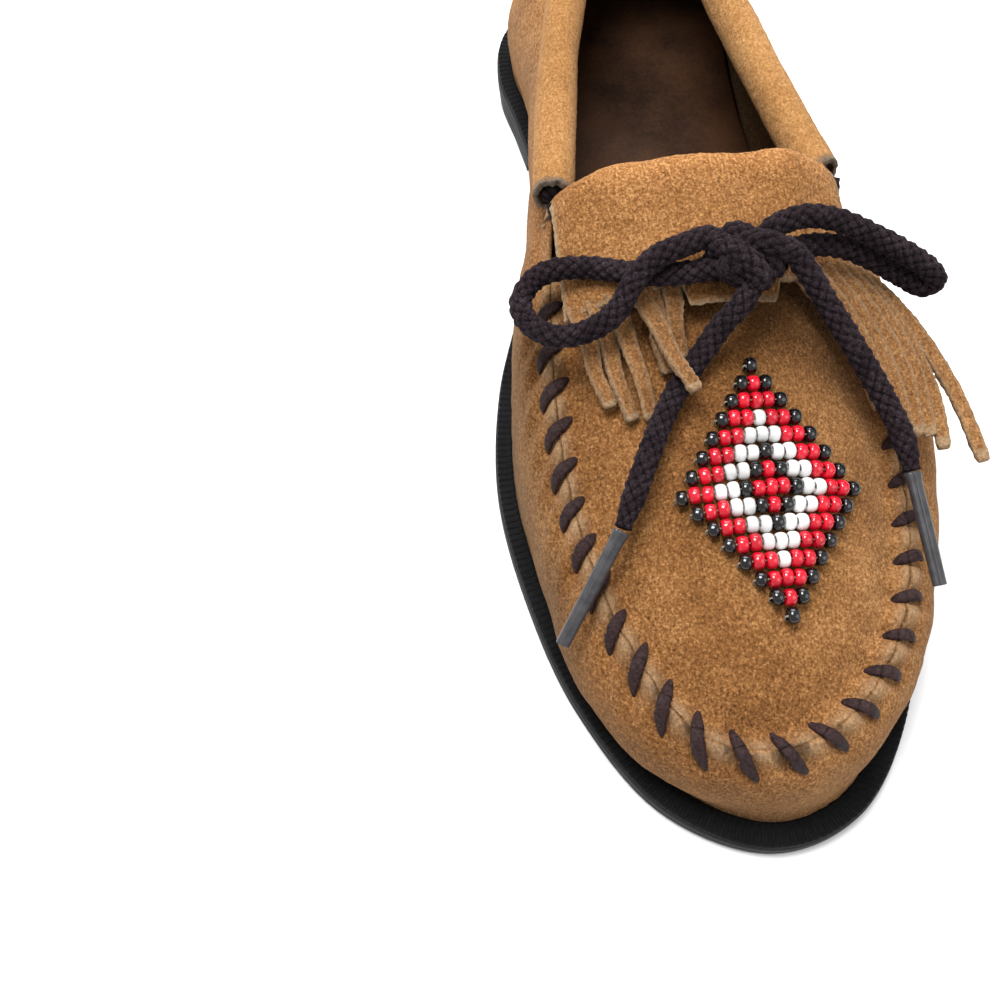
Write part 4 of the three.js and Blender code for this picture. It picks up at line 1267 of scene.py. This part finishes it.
def sock_lining():
    """The lining under the foot, pressed in a little by wear."""
    t = round_shares(700)
    inset = FEATHER_INSET + SUEDE + 2 * GAP + 0.3
    bottom_z = 11.4
    thick = 1.1

    def top_height(x, y):
        heel, ball = bell(x, 17) * bell(y - 95, 26), bell(x, 24) * bell(y + 55, 30)
        place = np.stack([x, y, np.zeros_like(x)], -1)
        return rise(y) + bottom_z + thick - 0.3 * (heel + ball) + 0.12 * lumps(place, 8.0)

    rounding = ((0, 0), (0, 0.6), (0.15, 0.9), (0.6, thick))
    rings = [sole_ring(inset + d, bottom_z + z, t) for d, z in rounding]
    rings[-1][:, 2] = top_height(rings[-1][:, 0], rings[-1][:, 1])
    parts = Parts()
    parts.grid(np.stack(rings), wrap_columns=True)
    cap(parts, rings[-1], 90, top_height)
    cap(parts, rings[0], 20)
    finish(parts, "sock_lining", "shoe", "lining_leather", LINING)


def counter_lining():
    t = np.linspace(-0.105, 0.105, 220)
    outer, out, _ = wall_section(t % 1)
    depth = SUEDE + COUNTER + 5 * GAP
    normal = grid_normals(outer, out)
    rows = slice(11, 46)
    near = outer[:, rows] - normal[:, rows] * depth
    near = near + normal[:, rows] * 0.12 * lumps(near, 7.0)[..., None]
    far = near - normal[:, rows] * LINING_THICKNESS
    slab_piece(far, near, "counter_lining", "shoe", "lining_leather", LINING)


# ---- Beadwork ----
# A stepped diamond in bands of colour, with one string of beads to a row. The bands are letters
# for red, white and black, from the middle bead outwards.
ORNAMENT = (4.5, -64.8)
BANDS = "rrkwwrrk"
BEAD_SLOTS = {"r": "bead_red", "w": "bead_white", "k": "bead_black"}
BEAD_HOLE = 0.5
BEAD_LIFT = 0.15
THREAD_RADIUS = 0.2
THREAD_DEPTH = 0.5  # how far the thread's ends dip into the suede


def bead_rows():
    """Name, y, colours and middle colour of each string."""
    reach = len(BANDS) - 1
    rows = []
    for row in range(-reach, reach + 1):
        half = reach - abs(row)
        beads = "".join(BANDS[abs(row) + abs(bead)] for bead in range(-half, half + 1))
        name = f"bead_row_{row + reach + 1:02d}"
        rows.append((name, ORNAMENT[1] - row * BEAD_ROW, beads, BANDS[abs(row)]))
    return rows


def bead_place(x, y):
    lift = (BEAD_RADIUS + BEAD_LIFT) * math.hypot(1, 2 * INSTEP_DROOP * x)
    return np.array([x, y, float(instep(x, y)) + lift])


def bead_grid(middle, axis, size):
    """One glass bead: a fat ring with rounded shoulders, turned about its hole."""
    radius = BEAD_RADIUS * size
    half = 0.44 * BEAD_PITCH * (0.8 + 0.2 * size)
    thick = (radius - BEAD_HOLE) / 2
    profile = []
    for angle in round_angles(20):
        out, side = math.cos(angle), math.sin(angle)
        squared = half * math.copysign(abs(side) ** 0.85, side)
        profile.append((BEAD_HOLE + thick + thick * out, squared))
    side = unit(np.cross(axis, (0.0, 0.0, 1.0)))
    top = np.cross(side, axis)
    around = round_angles(28)
    ring = side * np.cos(around)[:, None] + top * np.sin(around)[:, None]
    return np.stack([middle + axis * z + ring * r for r, z in profile])


def bead_string(name, y, beads, colour):
    """A row of beads, each a little off true, on a thread that dips into the suede at its ends."""
    parts = Parts()
    across = [ORNAMENT[0] + (i - (len(beads) - 1) / 2) * BEAD_PITCH for i in range(len(beads))]
    places = [bead_place(x, y) for x in across]
    axes = [unit(bead_place(x + 0.5, y) - bead_place(x - 0.5, y)) for x in across]
    for place, axis, letter in zip(places, axes, beads):
        vary = [noise.noise(place * 0.37 + k) for k in (0.0, 11.0, 23.0, 41.0)]
        lean = np.array([0.25 * vary[0], 0.25 * vary[1], 0.1 * vary[2]])
        middle = place + (0, 0.3 * vary[2], 0.15 * vary[3])
        grid = bead_grid(middle, unit(axis + lean), 1 + 0.09 * vary[3])
        parts.grid(grid, wrap_rows=True, wrap_columns=True, slot=list(BEAD_SLOTS).index(letter))
    reach = 0.5 * BEAD_PITCH
    start, end = places[0] - axes[0] * reach, places[-1] + axes[-1] * reach
    sink = np.array([0, 0, BEAD_RADIUS + BEAD_LIFT + THREAD_DEPTH])
    path, _ = along([start - sink, start, *places, end, end - sink], 12 * (len(beads) + 2))
    parts.grid(sweep(path, THREAD_RADIUS, 10), wrap_columns=True, ends=True, slot=3)
    finish(parts, name, "shoe", BEAD_SLOTS[colour], RED, WHITE, BLACK, THREAD)


# ---- Light and floor ----
def add_light(name, place, target, size, power):
    light = bpy.data.objects.new(name, bpy.data.lights.new(name, "AREA"))
    bpy.context.scene.collection.objects.link(light)
    light.data.size = size
    light.data.energy = power
    light.location = place
    direction = Vector(target) - Vector(place)
    light.rotation_euler = direction.to_track_quat("-Z", "Y").to_euler()


def stage():
    bpy.ops.mesh.primitive_plane_add(size=6, location=(0, 0, 0))
    floor = bpy.context.object
    floor.name = "floor"
    floor.data.materials.append(floor_material())
    add_light("key", (-0.22, 0.12, 0.95), (0, 0, 0.03), 0.45, 13)
    add_light("fill", (0.7, -0.5, 0.7), (0, 0, 0.03), 0.7, 3)
    add_light("back", (0.1, 0.8, 0.7), (0, 0, 0.04), 0.6, 6)
    world = bpy.data.worlds.new("world")
    bpy.context.scene.world = world
    world.use_nodes = True
    background = world.node_tree.nodes["Background"]
    background.inputs["Color"].default_value = (1, 1, 1, 1)
    background.inputs["Strength"].default_value = 0.6
    bpy.context.scene.view_settings.view_transform = "Standard"


add_camera()
knot_piece = knot()
lace_side("medial", LACE_MEDIAL, [knot_piece, aglet("aglet_medial")])
lace_side("lateral", LACE_LATERAL, [aglet("aglet_lateral")])
upper_wall()
plug()
stitches()
tongue()
flap()
collar_casing()
lace_in_casing()
outsole()
heel_block()
welt()
sock_lining()
counter_lining()
for row in bead_rows():
    bead_string(*row)
stage()
